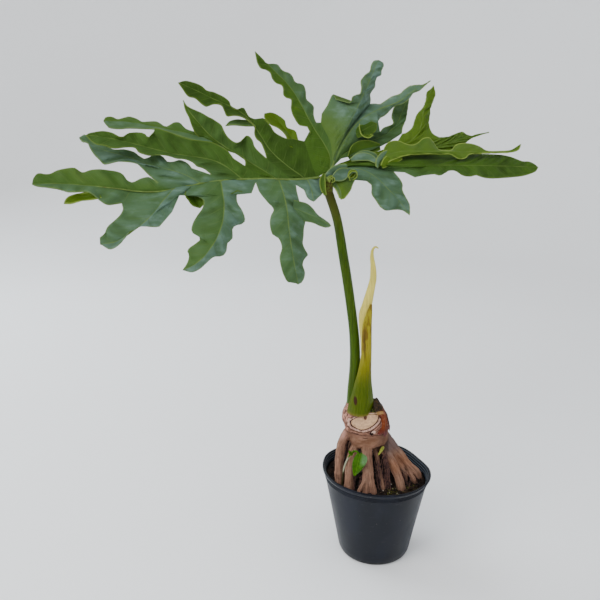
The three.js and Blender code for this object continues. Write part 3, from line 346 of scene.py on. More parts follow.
# ---- materials ----
class Value:
    """A number or colour that changes over a surface. Sums and products of numbers add Math
    nodes."""

    def __init__(self, finish, socket):
        self.finish = finish
        self.socket = socket

    def maths(self, operation, *others, clamp=False):
        return self.finish.node("ShaderNodeMath", {"operation": operation, "use_clamp": clamp},
                                dict(enumerate([self, *others])))

    def __add__(self, other):
        return self.maths("ADD", other)

    __radd__ = __add__

    def __mul__(self, other):
        return self.maths("MULTIPLY", other)

    __rmul__ = __mul__

    def __sub__(self, other):
        return self.maths("SUBTRACT", other)

    def __rsub__(self, other):
        return (self * -1) + other

    def __truediv__(self, other):
        return self.maths("DIVIDE", other)

    def __pow__(self, power):
        return self.maths("POWER", power)

    def __abs__(self):
        return self.maths("ABSOLUTE")

    def clamped(self):
        """Held between 0 and 1."""
        return self.maths("ADD", 0, clamp=True)

    def smooth(self, low, high):
        """0 up to low, 1 from high, and smooth between."""
        return self.finish.node("ShaderNodeMapRange", {"interpolation_type": "SMOOTHSTEP"},
                                {"Value": self, "From Min": low, "From Max": high})

    def fade(self, low, high):
        """1 up to low, 0 from high, and smooth between."""
        return 1 - self.smooth(low, high)

    def off_line(self, gap):
        """Distance from the nearest of even lines: |value/gap - round(value/gap)|·gap."""
        turn = self / gap
        return abs(turn - turn.maths("ROUND")) * gap

    def parts(self):
        """The x, y and z of a vector."""
        return [self.finish.node("ShaderNodeSeparateXYZ", {}, {0: self}, k) for k in range(3)]


class Finish:
    """A material, and the nodes that colour it."""

    def __init__(self, name, roughness, specular=0.5, **constants):
        self.material = bpy.data.materials.new(name)
        self.material.use_nodes = True
        self.tree = self.material.node_tree
        self.shader = self.tree.nodes["Principled BSDF"]
        self.shader.inputs["Roughness"].default_value = roughness
        self.shader.inputs["Specular IOR Level"].default_value = specular
        for name, value in constants.items():
            self.shader.inputs[name.replace("_", " ").title()].default_value = value
        self.place = self.node("ShaderNodeTexCoord", {}, {}, "Object")

    def node(self, kind, settings, values, output=0):
        """Adds a node: its settings first, then the values or links of its sockets."""
        node = self.tree.nodes.new(kind)
        for name, value in settings.items():
            setattr(node, name, value)
        for name, value in values.items():
            self.put(node.inputs[name], value)
        return Value(self, node.outputs[output])

    def put(self, socket, value):
        if isinstance(value, Value):
            self.tree.links.new(value.socket, socket)
        else:
            socket.default_value = value

    def attribute(self, name):
        return self.node("ShaderNodeAttribute", {"attribute_name": name}, {}, "Vector").parts()

    def millimetres(self):
        """x, y and z in the part's frame, in mm."""
        return [part * 1000 for part in self.place.parts()]

    def noise(self, size, detail=2.0, stretch=(1, 1, 1)):
        """Clouds from 0 to 1 whose lumps are "size" mm, longer along an axis by its stretch."""
        scale = [1 / (size * MM * k) for k in stretch]
        at = self.node("ShaderNodeMapping", {}, {"Vector": self.place, "Scale": scale})
        return self.node("ShaderNodeTexNoise", {}, {"Vector": at, "Scale": 1, "Detail": detail})

    def noise_on(self, coordinates, size, detail=2.0):
        """Clouds over a surface's own coordinates, given as numbers in mm."""
        at = self.node("ShaderNodeCombineXYZ", {}, dict(enumerate(coordinates)))
        return self.node("ShaderNodeTexNoise", {},
                         {"Vector": at, "Scale": 1 / size, "Detail": detail})

    def specks(self, size):
        """Distance from scattered points, in cells of "size" mm."""
        return self.node("ShaderNodeTexVoronoi", {},
                         {"Vector": self.place, "Scale": 1 / (size * MM)})

    def mix(self, share, a, b):
        """Colour a where share is 0 and colour b where it is 1."""
        a, b = [(*c, 1.0) if not isinstance(c, Value) else c for c in (a, b)]
        return self.node("ShaderNodeMix", {"data_type": "RGBA"}, {0: share, 6: a, 7: b}, 2)

    def tones(self, share, colour, dark, light):
        """The colour from one shade of it to another, by their factors."""
        return self.mix(share, shade(colour, dark), shade(colour, light))

    def layers(self, colour, *coats):
        """The colour with others laid over it in turn, each by its share."""
        for share, coat in coats:
            colour = self.mix(share, colour, coat)
        return colour

    def paint(self, colour, roughness=None):
        self.put(self.shader.inputs["Base Color"], colour)
        if roughness is not None:
            self.put(self.shader.inputs["Roughness"], roughness)

    def relief(self, height, depth):
        """Bumps the surface: the height runs from 0 to 1 for "depth" mm."""
        bumped = self.node("ShaderNodeBump", {},
                           {"Height": height, "Distance": depth * MM, "Strength": 1.0})
        self.put(self.shader.inputs["Normal"], bumped)


def shade(colour, factor):
    """The colour made lighter or darker."""
    return tuple(min(1.0, value * factor) for value in colour)


def oval(x, z, middle, size=(1, 1)):
    """Squared distance from an oval's middle, in shares of its half width and half height."""
    return ((x - middle[0]) / size[0])**2 + ((z - middle[1]) / size[1])**2


# ---- the pot and the soil ----
WALL_TOP, RIM_BAND = 100.0, 8
DRAIN_HOLES, DRAIN_RADIUS, DRAIN_RING = 6, 4.0, 25.0
FLOOR, FOOT = 2.0, 36.6
# The wall's rings: height of the middle, how far out, and half the height; inner ones run down.
OUTER_RINGS = (89.4, 0.5, 0.4), (91.2, 0.5, 0.4), (93, 0.5, 0.4), (97.3, 1.1, 1.9)
INNER_RINGS = (98.3, -0.6, -0.8), (95.8, -0.8, -0.8), (93.3, -0.8, -0.8)
RING_HIGHLIGHT_GAP = 2.5
SOIL_ROWS, SOIL_SIDES = 64, 220
SOIL_GAP, SOIL_EDGE_DROP, SOIL_BOTTOM = 0.3, 2, 2.3


def rim_share(z):
    """0 below the rim's 8 mm high band, and up to 1 at its top."""
    return np.maximum(0, 1 - (WALL_TOP - z) / RIM_BAND)


def out_of_round(angle, z):
    """How far the thin wall is pushed out: (1.8·cos 2(angle - 147°) - 4.2·bell at 20° + 2.4·bell
    at 60° + 1.6·bell at 150°)·(z/100)², and below the rim 0.8 mm to the left."""
    degrees = np.degrees(angle)
    dent, bulge, corner = [(degrees - at + 540) % 360 - 180 for at in (20, 60, 150)]
    return ((1.8 * np.cos(2 * (angle - math.radians(147))) - 4.2 * bell(dent, 0, 24)
             + 2.4 * bell(bulge, 0, 20) + 1.6 * bell(corner, 0, 16)) * (z / 100)**2
            - 0.8 * (1 - rim_share(z)) * np.cos(angle))


def wall_radius(pot, z):
    """Outer radius of the wall: straight from the base radius to the rim radius, and 1 mm more
    at the flared rim."""
    return (pot.base + (pot.rim - pot.base) * z * MM / pot.height) / MM + rim_share(z)


def bump(places, middle, rise, half):
    """Profile points of a rounded bump: at height middle + half·x the wall stands out by
    rise·sqrt(1 - |x|³)."""
    return [(middle + half * x, rise * math.sqrt(1 - abs(x)**3)) for x in places]


def turned(radii, heights, sides, pushed=1.0):
    """Rings of points round Z from a profile, pushed out of round."""
    angle = circle(sides)[None]
    z = np.reshape(heights, (-1, 1))
    r = np.reshape(radii, (-1, 1)) + out_of_round(angle, z) * pushed
    return np.stack([r * np.cos(angle), r * np.sin(angle), z + 0 * angle], axis=-1)


def make_pot(pot):
    """The wall is a closed profile turned round Z: up the outside with three fine rings and a
    rolled lip, over the rim, and down the inside. The floor is six wedges, each with a drainage
    hole."""
    top, wall = pot.height / MM, pot.wall / MM
    outer = [(5, 0)] + [(z, 0) for z in np.linspace(11, 87, 16)]
    for ring in OUTER_RINGS:
        outer += bump((-1, -0.85, -0.6, -0.3, 0, 0.3, 0.6, 0.85, 1), *ring)
    inner = [(top - 0.5, 0)]
    for ring in INNER_RINGS:
        inner += bump((-1, -0.6, 0, 0.6, 1), *ring)
    inner += [(z, 0) for z in np.linspace(89, FLOOR, 18)]
    lip = wall_radius(pot, top)
    profile = [(FOOT, 0), (37.6, 0.2), (38.4, 0.8), (39.1, 1.8)]
    profile += [(wall_radius(pot, z) + rise, z) for z, rise in outer]
    profile += [(lip + 0.2, top - 0.1), (lip - 0.35, top), (lip - wall + 0.15, top - 0.1)]
    profile += [(wall_radius(pot, z) - wall + rise, z) for z, rise in inner]
    profile += [(FOOT, FLOOR)]
    radii, heights = np.array(profile).T
    points, cells, _ = skin(turned(radii, heights, 160), loop_rows=True)
    x, y, z = points[cells.ravel()].T
    middle = wall_radius(pot, z) - wall / 2 + out_of_round(np.arctan2(y, x), z)
    within = np.repeat(np.hypot(x, y)[:, None] < middle[:, None], 3, axis=1).astype(float)
    parts = [(points, cells, {"within": within})]

    # Round each hole, q runs along the circle and along the wedge's outline, and t from one to
    # the other.
    q = circle(48) / (2 * np.pi)
    for k in range(DRAIN_HOLES):
        middle = 2 * np.pi * (k + 0.5) / DRAIN_HOLES
        arc = middle + np.linspace(-np.pi / DRAIN_HOLES, np.pi / DRAIN_HOLES, 17)
        foot = FOOT + out_of_round(arc, 0)
        outline = np.stack([foot * np.cos(arc), foot * np.sin(arc)], 1)
        outline = np.vstack([outline, [[0, 0]], outline[:1]])
        run = np.concatenate([np.linspace(0, 0.5, 17), [0.75, 1]])
        edge = np.stack([np.interp(q, run, outline[:, i]) for i in (0, 1)], 1)
        centre = DRAIN_RING * np.array([math.cos(middle), math.sin(middle)])
        turn = math.atan2(*(edge[0] - centre)[::-1]) + 2 * np.pi * q
        hole = centre + DRAIN_RADIUS * np.stack([np.cos(turn), np.sin(turn)], 1)
        rows = [np.column_stack([hole + (edge - hole) * t, np.full(len(q), z)])
                for z, t in ((FLOOR, 0), (FLOOR, 0.5), (FLOOR, 1), (0, 1), (0, 0.5), (0, 0))]
        points, cells, _ = skin(np.array(rows), loop_rows=True)
        parts.append((points, cells, {"within": np.ones((cells.size, 3))}))

    plastic = Finish("pot plastic", 0.42, specular=0.18)
    dust = plastic.noise(26, 3, (1, 1, 2.5)).smooth(0.42, 0.75)
    scuff = plastic.noise(3.2, 4, (3, 3, 1)).smooth(0.6, 0.8)
    specks = plastic.specks(3.4).fade(0.055, 0.1) * plastic.noise(9, 2).smooth(0.56, 0.62)
    # The inside is painted darker as shade, with pale painted highlight lines on its rings.
    z = plastic.millimetres()[2]
    within = plastic.attribute("within")[0] * z.fade(99, 99.6)
    line = (z - 90.8).off_line(RING_HIGHLIGHT_GAP).fade(0.15, 0.55) * z.smooth(90, 90.4)
    colour = plastic.layers(
        plastic.tones(dust, pot.plastic, 1, 1.7), (scuff * 0.35, (0.05, 0.052, 0.056)),
        (specks * 0.75, (0.24, 0.22, 0.2)), (within, (0.0012, 0.0016, 0.0026)),
        (line * within, (0.07, 0.09, 0.12)))
    plastic.paint(colour, 0.36 + dust * 0.14 + scuff * 0.1)
    plastic.relief(plastic.noise(1.1, 2) + plastic.noise(14, 1) * 3, 0.05)
    piece("nursery_pot_looks", parts, plastic.material, ["nursery_pot"], sharp=35)


def soil_height(x, y):
    """Height of the soil over its level: broad lumps of two sine waves, as in the solid, with
    three sizes of clouds, and a low mound round each root."""
    flat = np.stack([x, y, 0 * x], axis=-1)
    lumps = 1.6 * np.sin(x / 7.3 + 1) * np.cos(y / 6.1) + 0.8 * np.sin((x - y) / 4)
    rough = 1.1 * clouds(flat, 6.5, 1) + 0.8 * clouds(flat, 2.9, 2) + 0.4 * clouds(flat, 1.3, 3)
    feet = np.array([points[-2][:2] for _, _, points in ROOTS])
    away = np.sqrt((x[..., None] - feet[:, 0])**2 + (y[..., None] - feet[:, 1])**2).min(axis=-1)
    return lumps * 0.8 + rough + 1.6 * bell(away, 5, 4)


def make_soil(pot):
    """The soil's surface is a polar grid over the pot, its height from soil_height, closed by its
    side and bottom. Loose crumbs, bark chips, pale grains and moss lie on it."""
    level, wall = pot.soil_level / MM, pot.wall / MM
    inside = wall_radius(pot, level - SOIL_EDGE_DROP) - wall - SOIL_GAP
    share = np.linspace(0, 1, SOIL_ROWS)[:, None]**0.8
    top = turned(share * inside, np.full(SOIL_ROWS, level), SOIL_SIDES, share**2)
    top[..., 2] += soil_height(top[..., 0], top[..., 1]) * (1 - share**14)
    top[-1, :, 2] = level - SOIL_EDGE_DROP
    top[0] = top[0].mean(axis=0)
    depths = np.array([84, 70, 55, 40, 25, 12, SOIL_BOTTOM])
    side = turned(wall_radius(pot, depths) - wall - SOIL_GAP, depths, SOIL_SIDES)
    close = np.zeros((1, SOIL_SIDES, 3)) + (0, 0, SOIL_BOTTOM)
    parts = [skin(np.concatenate([top, side, close]))]
    random = np.random.default_rng(12)

    def scatter(count, low, high, seed, squash=(1, 1, 1), lift=0.25, zone=None):
        """Grains at even random places over the soil, or inside a zone (x, y, radius)."""
        x, y, r = zone or (0, 0, inside - 2.5)
        angle = random.uniform(0, 2 * np.pi, count)
        away = r * np.sqrt(random.uniform(0, 1, count))
        x, y = x + away * np.cos(angle), y + away * np.sin(angle)
        keep = np.hypot(x, y) < inside - 2.5
        x, y = x[keep], y[keep]
        size = low + (high - low) * random.uniform(0, 1, len(x))**3
        z = level + soil_height(x, y) + size * lift
        return grains(np.stack([x, y, z], 1), size, seed, squash)

    parts += [scatter(2600, 0.5, 1.9, 21), scatter(420, 1.2, 3.2, 22, (0.45, 0.8, 1.3))]
    earth = Finish("potting soil", 0.92, specular=0.12)
    tone = earth.noise(2.1, 3)
    patch = earth.noise(13, 2)
    earth.paint(earth.layers(
        earth.tones(tone.smooth(0.35, 0.7), pot.soil, 0.45, 1.9),
        (patch.smooth(0.5, 0.75) * 0.6, (0.06, 0.034, 0.022)),
        (earth.noise(1.2, 1).smooth(0.68, 0.74) * 0.7, (0.16, 0.1, 0.06))))
    earth.relief(earth.noise(0.7, 3), 0.35)
    piece("potting_soil_looks", parts, earth.material, ["potting_soil"], sharp=60)

    pale = [scatter(26, 0.5, 1.5, 31, zone=(-38, -36, 9)), scatter(60, 0.35, 0.9, 32),
            scatter(14, 0.5, 1.3, 33, zone=(12, -36, 9))]
    grit = Finish("pale grit", 0.8, specular=0.3)
    grit.paint(grit.mix(grit.noise(1.4, 2), (0.32, 0.24, 0.17), (0.62, 0.55, 0.46)))
    piece("soil_grit", pale, grit.material, sharp=60)

    tufts = [scatter(count, 0.3, high, seed, (0.6, 0.6, 1.2), 0.8, zone)
             for count, high, seed, zone in ((900, 0.95, 41, (18, -38, 13)),
                                             (260, 0.8, 42, (-12, -44, 6)),
                                             (150, 0.8, 43, (36, -30, 7)))]
    moss = Finish("moss", 0.9, specular=0.2)
    moss.paint(moss.tones(moss.noise(2.4, 3).smooth(0.35, 0.65), pot.moss, 0.4, 1))
    moss.relief(moss.noise(0.5, 2), 0.3)
    piece("soil_moss", tufts, moss.material, sharp=60)


# ---- the trunk and its stilt roots ----
TRUNK_PROFILE = [(6, 122), (14, 126.5), (19.2, 130), (21.4, 134), (22.2, 140), (23.2, 146),
                 (23.8, 152), (23.8, 158), (22.2, 165), (20, 171), (17.4, 175.5)]
SCAR_POINT = np.array([-15.5, -16.2, 161])
SCAR_NORMAL = np.array([-0.08, -0.86, 0.5]) / np.linalg.norm([-0.08, -0.86, 0.5])
TRUNK_FOOT, TRUNK_TOP = 122, 175.5
# Heights of the ring lines round the trunk, and the middle of the slit in its front.
RING_LINES = 146.4, 148.2, 151, 168.5, 171.5
SLIT_X, SLIT_Z = -15.4, 144.6
# Each root: its radius at the trunk, its radius below, and the points it runs through.
ROOTS = [
    (5.2, 5, [(-29, 2, 149), (-34.1, -1, 143), (-38.6, -5, 136), (-41.3, -9, 128.5),
              (-42.6, -13, 117), (-43, -19, 94), (-42.5, -21, 74)]),
    (4.8, 4.9, [(-24, -6, 133), (-30, -17, 122.5), (-33, -27, 105), (-33.5, -31.5, 88),
                (-32.5, -32, 74)]),
    (2.8, 2.3, [(-13, -29, 117), (-15.5, -36, 108), (-21.5, -41, 98), (-25, -42.5, 88),
                (-25.5, -42.5, 76)]),
    (4.6, 4.1, [(-15, -8, 134), (-15, -20, 126), (-15, -31, 112), (-16, -40, 90), (-16, -42, 74)]),
    (4.6, 4.1, [(-12, -8, 133), (-12, -20, 124.5), (-11, -32.5, 107), (-7.5, -40, 90),
                (-7.5, -42, 74)]),
    (2.6, 2.2, [(-6, -2, 131), (-2, -9, 121), (0.5, -18, 108), (3, -29, 96), (4.5, -36, 86),
                (5, -38, 76)]),
    (5, 4.8, [(1, 0, 130), (9, -8, 122.5), (18, -18, 108), (23, -29, 94), (24, -33, 76)]),
    (4.2, 3.4, [(7, 0, 131), (13.6, -3, 121.7), (19.3, -5, 111.5), (25.8, -9, 104.3),
                (29.2, -12, 97.7), (30.5, -14, 87), (31, -14.5, 76)]),
    (5.4, 5.2, [(2, 4, 145), (10, 4, 135.3), (16, 3, 127), (23, 1, 118), (33.6, -3, 105.1),
                (44.2, -7, 94.6), (44.5, -8, 78)]),
    (2.8, 2.6, [(33, -3, 104), (36, -12, 98.5), (38.8, -17, 94), (40, -18.5, 86), (40, -18.5, 78)]),
    (4.4, 4, [(-19, 12, 138), (-27, 24, 114), (-32.5, 33.5, 90), (-32, 33, 74)]),
    (4.4, 4, [(-4, 14, 137), (2, 27, 113), (6, 40, 90), (7, 41, 74)]),
    (4.2, 3.8, [(6, 10, 137), (21, 20, 113), (31, 29, 90), (32, 30, 74)]),
]
# Small swellings on the roots and the trunk's foot: place and size.
KNOTS = [((-27, -9, 133), 3.4), ((-35, 0, 143), 5.2), ((8, 1, 134), 4)]


def root_line(root, rows):
    """Points along a root, with its radius at each."""
    thick, thin, points = root
    at = np.linspace(0, 1, rows)
    return along(points, at), steps_between([thick, thin, thin], at)


def trunk_axis(z):
    """x and y of the trunk's middle: above 149 mm it leans left by a fifth of the rise."""
    return np.stack([-12 - 0.2 * np.maximum(0, z - 149), 4 + 0 * z], axis=-1)


def trunk_lumps(angle, z):
    """0.9·sin(3·angle + z/9) + 0.6·sin(7·angle - z/5)."""
    return 0.9 * np.sin(3 * angle + z / 9) + 0.6 * np.sin(7 * angle - z / 5)


def trunk_radius(angle, z):
    """The trunk's profile radius at that height, with its lumps."""
    radii, heights = spread(TRUNK_PROFILE).T
    return np.interp(z, heights, radii) + trunk_lumps(angle, z)


def around_trunk(r, angle, z):
    """Points at radius r and an angle round the trunk's axis."""
    middle = trunk_axis(z)
    return np.stack([middle[..., 0] + r * np.cos(angle), middle[..., 1] + r * np.sin(angle),
                     z + 0 * angle], -1)


def trunk_body():
    """Rings round the trunk's axis at trunk_radius, with what stands before the scar's plane
    pressed back onto it."""
    z = np.linspace(TRUNK_FOOT, TRUNK_TOP, 60)[:, None]
    angle = circle(120)[None]
    grid = around_trunk(trunk_radius(angle, z), angle, z)
    low, high = [np.zeros((1, 120, 3)) + (*trunk_axis(end), end)
                 for end in (TRUNK_FOOT - 1, TRUNK_TOP + 1)]
    shoulder = grid[-1:] * 0.5 + high * 0.5 + (0, 0, 0.2)
    grid = np.concatenate([low, grid, shoulder, high])
    ahead = (grid - SCAR_POINT) @ SCAR_NORMAL
    return skin(grid - SCAR_NORMAL * np.maximum(ahead, 0)[..., None])


def fused(name, parts, cell):
    """The parts as one skin, by a voxel remesh of that cell."""
    blank = Finish("blank", 0.8)
    rough = piece(name, parts, blank.material)
    remesh = rough.modifiers.new("fuse", "REMESH")
    remesh.mode = "VOXEL"
    remesh.voxel_size = cell
    remesh.adaptivity = 0
    graph = bpy.context.evaluated_depsgraph_get()
    mesh = bpy.data.meshes.new_from_object(rough.evaluated_get(graph))
    bpy.data.objects.remove(rough)
    bpy.data.materials.remove(blank.material)
    return mesh


def nearest_root(points):
    """For each point, which root is nearest: the place along it in mm, 40 more for each further
    root, the angle round it, and the distance from its skin."""
    best = np.full(len(points), np.inf)
    run, angle = np.zeros(len(points)), np.zeros(len(points))
    for number, root in enumerate(ROOTS):
        path, radii = root_line(root, 50)
        directions = frames(path, (0.2, 1, 0))
        away = np.linalg.norm(points[:, None] - path[None], axis=2) - radii[None]
        k = away.argmin(axis=1)
        nearest = away[np.arange(len(points)), k]
        closer = nearest < best
        ahead, first, second = [np.einsum("ij,ij->i", points - path[k], way[k])
                                for way in directions]
        step = np.linalg.norm(np.diff(path, axis=0), axis=1).mean()
        run = np.where(closer, k * step + ahead + 40 * number, run)
        angle = np.where(closer, np.arctan2(second, first), angle)
        best = np.minimum(best, nearest)
    return run, angle, best


def make_trunk(stem):
    """Trunk and roots are fused, and then each point moves along its normal: on a root by
    0.16·sin(5·angle + wave) and clouds, and on the trunk by ring lines, a net and clouds."""
    parts = [trunk_body()]
    for root in ROOTS:
        path, radii = root_line(root, 70)
        start = len(parts) * 7.0
        wobble = 1 + 0.07 * clouds(path + start, 9, 5) + 0.05 * clouds(path + start, 4, 6)
        parts.append(tube(path, radii * wobble * round_ends(70, 0.04), 20, across=(0.2, 1, 0)))
    for knot, size in KNOTS:
        parts.append(grains(np.array([knot]), np.array([size]), 3, (1, 1, 0.8)))
    mesh = fused("trunk", parts, stem.voxel)
    points, normals = np.empty((2, len(mesh.vertices) * 3))
    mesh.vertices.foreach_get("co", points)
    mesh.vertices.foreach_get("normal", normals)
    points, normals = points.reshape(-1, 3) / MM, normals.reshape(-1, 3)

    run, angle, best = nearest_root(points)
    x, y, z = points.T
    around = points[:, :2] - trunk_axis(z)
    trunk_angle = np.arctan2(around[:, 1], around[:, 0])
    off_trunk = np.hypot(*around.T) - trunk_radius(trunk_angle, z)
    on_root = np.clip((off_trunk - best) / 2.5 + 0.3, 0, 1)
    on_root = np.where(z < 126, 1, on_root * (best < 2.5))
    above = np.clip((z - 146.5) / 2.5, 0, 1) * (1 - on_root)
    ahead = (points - SCAR_POINT) @ SCAR_NORMAL
    on_scar = (ahead > -0.9) & (normals @ SCAR_NORMAL > 0.8)

    wave = 0.7 * np.sin(run / 9)
    roots = (0.16 * np.sin(5 * angle + wave) + 0.3 * clouds(points, 4, 7)
             + 0.12 * clouds(points, 1.5, 8)
             + 0.16 * np.sin(run / 1.1 + 2 * clouds(points, 5, 9)) * clouds(points, 8, 10))
    lines = sum(bell(z + 0.9 * np.sin(2 * trunk_angle + at), at, 0.45) for at in RING_LINES)
    lines += (bell(z, SLIT_Z + 0.06 * (x - SLIT_X)**2, 0.6) * bell(x, SLIT_X, 3.4) * (y < 0))
    trunk = 0.25 * clouds(points * (1, 1, 2.2), 5, 11) - 0.6 * lines + 0.1 * clouds(points, 1.6, 12)
    # The fibrous skin above the bulge: netted ridges where two slanting waves cross.
    slant = trunk_angle * 24
    net = np.abs(np.sin((slant + z) / 2.3 + clouds(points, 6, 13))
                 * np.sin((slant - z * 1.3) / 2.7 + clouds(points, 7, 14)))
    trunk = trunk * (1 - 0.5 * above) + above * (0.8 + 0.7 * clouds(points, 7, 15) - 0.8 * net)
    move = np.where(on_scar, 0.15 * clouds(points, 2, 16), trunk)
    points = points + normals * (on_root * roots + (1 - on_root) * move)[:, None]
    mesh.vertices.foreach_set("co", (points * MM).ravel())
    for key, values in (("root", (run, angle * 4.5, on_root)), ("trunk", (slant, above, net))):
        layer = mesh.attributes.new(key, "FLOAT_VECTOR", "POINT")
        layer.data.foreach_set("vector", np.stack(values, 1).ravel())
    mesh.shade_smooth()
    mesh.update()
    placed(bpy.data.objects.new("trunk_with_roots_looks", mesh), bark_material(stem),
           ["trunk_with_roots"])


def bark_material(stem):
    """The roots' streaked skin, the trunk's smooth bulge, the fibrous skin over it, and the
    scar."""
    bark = Finish("root bark", 0.74, specular=0.1)
    run, side, on_root = bark.attribute("root")
    _, above, net = bark.attribute("trunk")
    x, y, z = bark.millimetres()
    streak = bark.noise_on([run / 9, side * 1.3, 0], 1.6, 3)
    blotch = bark.noise(6, 3)
    ring = bark.noise_on([run, side / 5, 0], 1.3, 2)
    # The right-hand root is greyish purple at its top and orange-brown in its middle, the left one
    # pinkish at its shoulder, and a shadow is painted where they leave the trunk's right side.
    right = (x - 4).smooth(0, 6)
    left = (0 - x).smooth(31, 34) * z.smooth(136, 142)
    shadow = z.smooth(123, 127) * z.fade(135, 138) * x.smooth(-2, 2) * x.fade(10, 13)
    root_colour = bark.layers(
        bark.tones(streak.smooth(0.3, 0.7), stem.root_skin, 0.6, 1.35),
        (blotch.smooth(0.5, 0.75) * 0.3, (0.3, 0.19, 0.13)),
        ((1 - blotch).smooth(0.55, 0.72) * 0.45, (0.07, 0.034, 0.024)),
        (ring.smooth(0.62, 0.74) * 0.3, (0.06, 0.03, 0.02)),
        (right * z.smooth(118, 128) * 0.75, (0.1, 0.07, 0.068)),
        (right * abs(z - 112).fade(2, 9) * 0.4, (0.2, 0.075, 0.03)),
        (left * blotch.smooth(0.3, 0.6) * 0.7, (0.42, 0.22, 0.17)),
        (shadow * 0.8, (0.025, 0.013, 0.011)),
        (z.fade(88, 96) * 0.6, (0.045, 0.024, 0.017)))

    fine = bark.noise(1.7, 4, (1, 1, 1.6))
    soft = bark.noise(9, 3, (1.5, 1, 0.8))
    # The slit crease in the bulge is painted dark as shade.
    slit = abs(z - SLIT_Z - (x - SLIT_X)**2 * 0.06).fade(0.2, 0.75)
    slit = slit * abs(x - SLIT_X).fade(2.4, 3.6)
    # The bulge: painted shade darkens its sides, away from its middle at x = -14.
    bulge = bark.layers(
        bark.mix(soft.smooth(0.3, 0.7), (0.16, 0.075, 0.042), (0.29, 0.155, 0.1)),
        (fine.smooth(0.55, 0.75) * 0.25, (0.08, 0.035, 0.02)),
        (z.smooth(141.5, 146.5) * 0.4, (0.17, 0.078, 0.058)),
        (abs(x + 14).smooth(7, 18) * 0.6, (0.1, 0.048, 0.03)),
        (slit * 0.85, (0.02, 0.008, 0.005)))

    # The skin above the bulge: fibres run beside the scar's outline, and paler ones stand up.
    front = (0 - y).smooth(6, 9)
    rise = z - 165.2 - (x + 16.1) * 0.19
    half_height = 9.4 - rise.smooth(-0.01, 0.01) * 5.4
    across = (x + 16.1 - rise * 0.2) / 15.1
    shape = (across * across + (rise / half_height)**2)**0.5
    band = (shape * 26 + (fine - 0.5) * 5 + (soft - 0.5) * 6).maths("SINE")
    upright = bark.noise(1.5, 3, (1, 1, 3.2))
    golden = z.smooth(166, 168.5) * x.smooth(-12, -7)
    olive = z.smooth(170.5, 172.5) * x.smooth(-14, -11)
    papery = bark.layers(
        bark.tones(upright.smooth(0.42, 0.62), stem.trunk_skin, 0.38, 1.5),
        (front * (0 - x).fade(26, 31) * 0.85,
         bark.tones(band.smooth(-0.5, 0.6), stem.trunk_skin, 0.3, 1.15)),
        (soft.smooth(0.45, 0.7) * 0.45, (0.16, 0.065, 0.042)),
        (net.fade(0.03, 0.2) * 0.5, (0.045, 0.017, 0.012)),
        (z.fade(150, 154) * front * 0.55, (0.2, 0.1, 0.062)),
        (golden, bark.mix(upright.smooth(0.4, 0.6), (0.13, 0.065, 0.012), (0.45, 0.3, 0.1))),
        (olive, bark.mix(upright.smooth(0.4, 0.65), (0.012, 0.012, 0.003), (0.05, 0.06, 0.008))))
    seam = abs(z - 148 + (bark.noise(4, 2) - 0.5) * 3).fade(0.25, 0.9)
    # Below z 133, under the bulge, the trunk is painted darker as shade.
    trunk_colour = bark.layers(
        bark.mix(above, bulge, papery), (seam * 0.8, (0.03, 0.012, 0.01)),
        (z.fade(129.5, 133.5) * 0.75, (0.06, 0.027, 0.017)))

    # The scar: a cream face under a flat, tilted top edge, with dark and pale outlines and a brown
    # notch in its top. Below it to the right sits a small pale curl with a dark pit, and its shadow
    # is painted beside it, to its lower left.
    edge = (shape - 1) * 9
    inside = edge.fade(-0.5, -0.2) * front
    cream = bark.layers(
        bark.tones(bark.noise(2.6, 3).smooth(0.35, 0.7), stem.scar, 0.74, 1.08),
        (edge.smooth(-2.4, -0.4) * 0.3, (0.3, 0.15, 0.09)))
    notch = oval(x, z, (-15.7, 167), (2, 2.6)).fade(0.5, 1.2) * inside
    outline = (abs(edge).fade(0.2, 0.6)
               + abs(edge - 2.9 + (fine - 0.5) * 1.5).fade(0.2, 0.6) * 0.8) * front
    shadow, pale, pit = [(oval(x, z, middle)**0.5 + (fine - 0.5) * 1.6).fade(r, r + 0.5)
                         for middle, r in (((-8.6, 152), 2.7), ((-7, 152.6), 1.9),
                                           ((-7.9, 151.4), 0.6))]
    pale_edge = abs(edge - 1.5).fade(0.5, 1.1) * front * upright.smooth(0.3, 0.55)
    bark.paint(bark.layers(
        bark.mix(on_root, trunk_colour, root_colour), (pale_edge * 0.8, (0.5, 0.32, 0.25)),
        (inside, cream), (notch * 0.9, (0.06, 0.018, 0.01)),
        (outline.clamped(), (0.012, 0.006, 0.005)), (shadow * front, (0.012, 0.005, 0.004)),
        ((pale - pit).clamped() * front, (0.52, 0.34, 0.27))), 0.62 + streak * 0.2)
    height = streak * on_root + (net * -0.5 + fine * 0.6) * (1 - on_root)
    bark.relief(height + bark.noise(0.9, 3) * 0.5, 0.45)
    return bark.material


# ---- the large leaf ----
# The leaf is drawn flat: u runs along the midrib away from the stalk and v across it, in mm. The
# drawing stands in space at a slope, and each point then sinks along the line of sight.
LEAF_BASE = np.array([-61.2, 0, 416.9])
YAW, RISE = math.radians(14.9), math.radians(1.25)
ALONG = np.array([-math.cos(YAW), -math.sin(YAW), math.sin(RISE)])
ALONG /= np.linalg.norm(ALONG)
BACK = np.array([-math.sin(YAW), math.cos(YAW), 0])
FAR_SLOPE, NEAR_SLOPE = 50, 65
EYE = np.array([-86.0, -684.0, 492.0])
ROW_PITCH, WEB_STEPS, COLUMNS = 2.6, 9, 16
# Lengths of the edges' waves and of the finer frills, and the distance between side veins.
RUFFLE_GAP, FRILL_GAP, SIDE_VEIN_GAP = 24, 10.5, 13
FAR_FROM_EDGE = 99
# x and z where the three ribs meet.
HUB = (-60, 455)
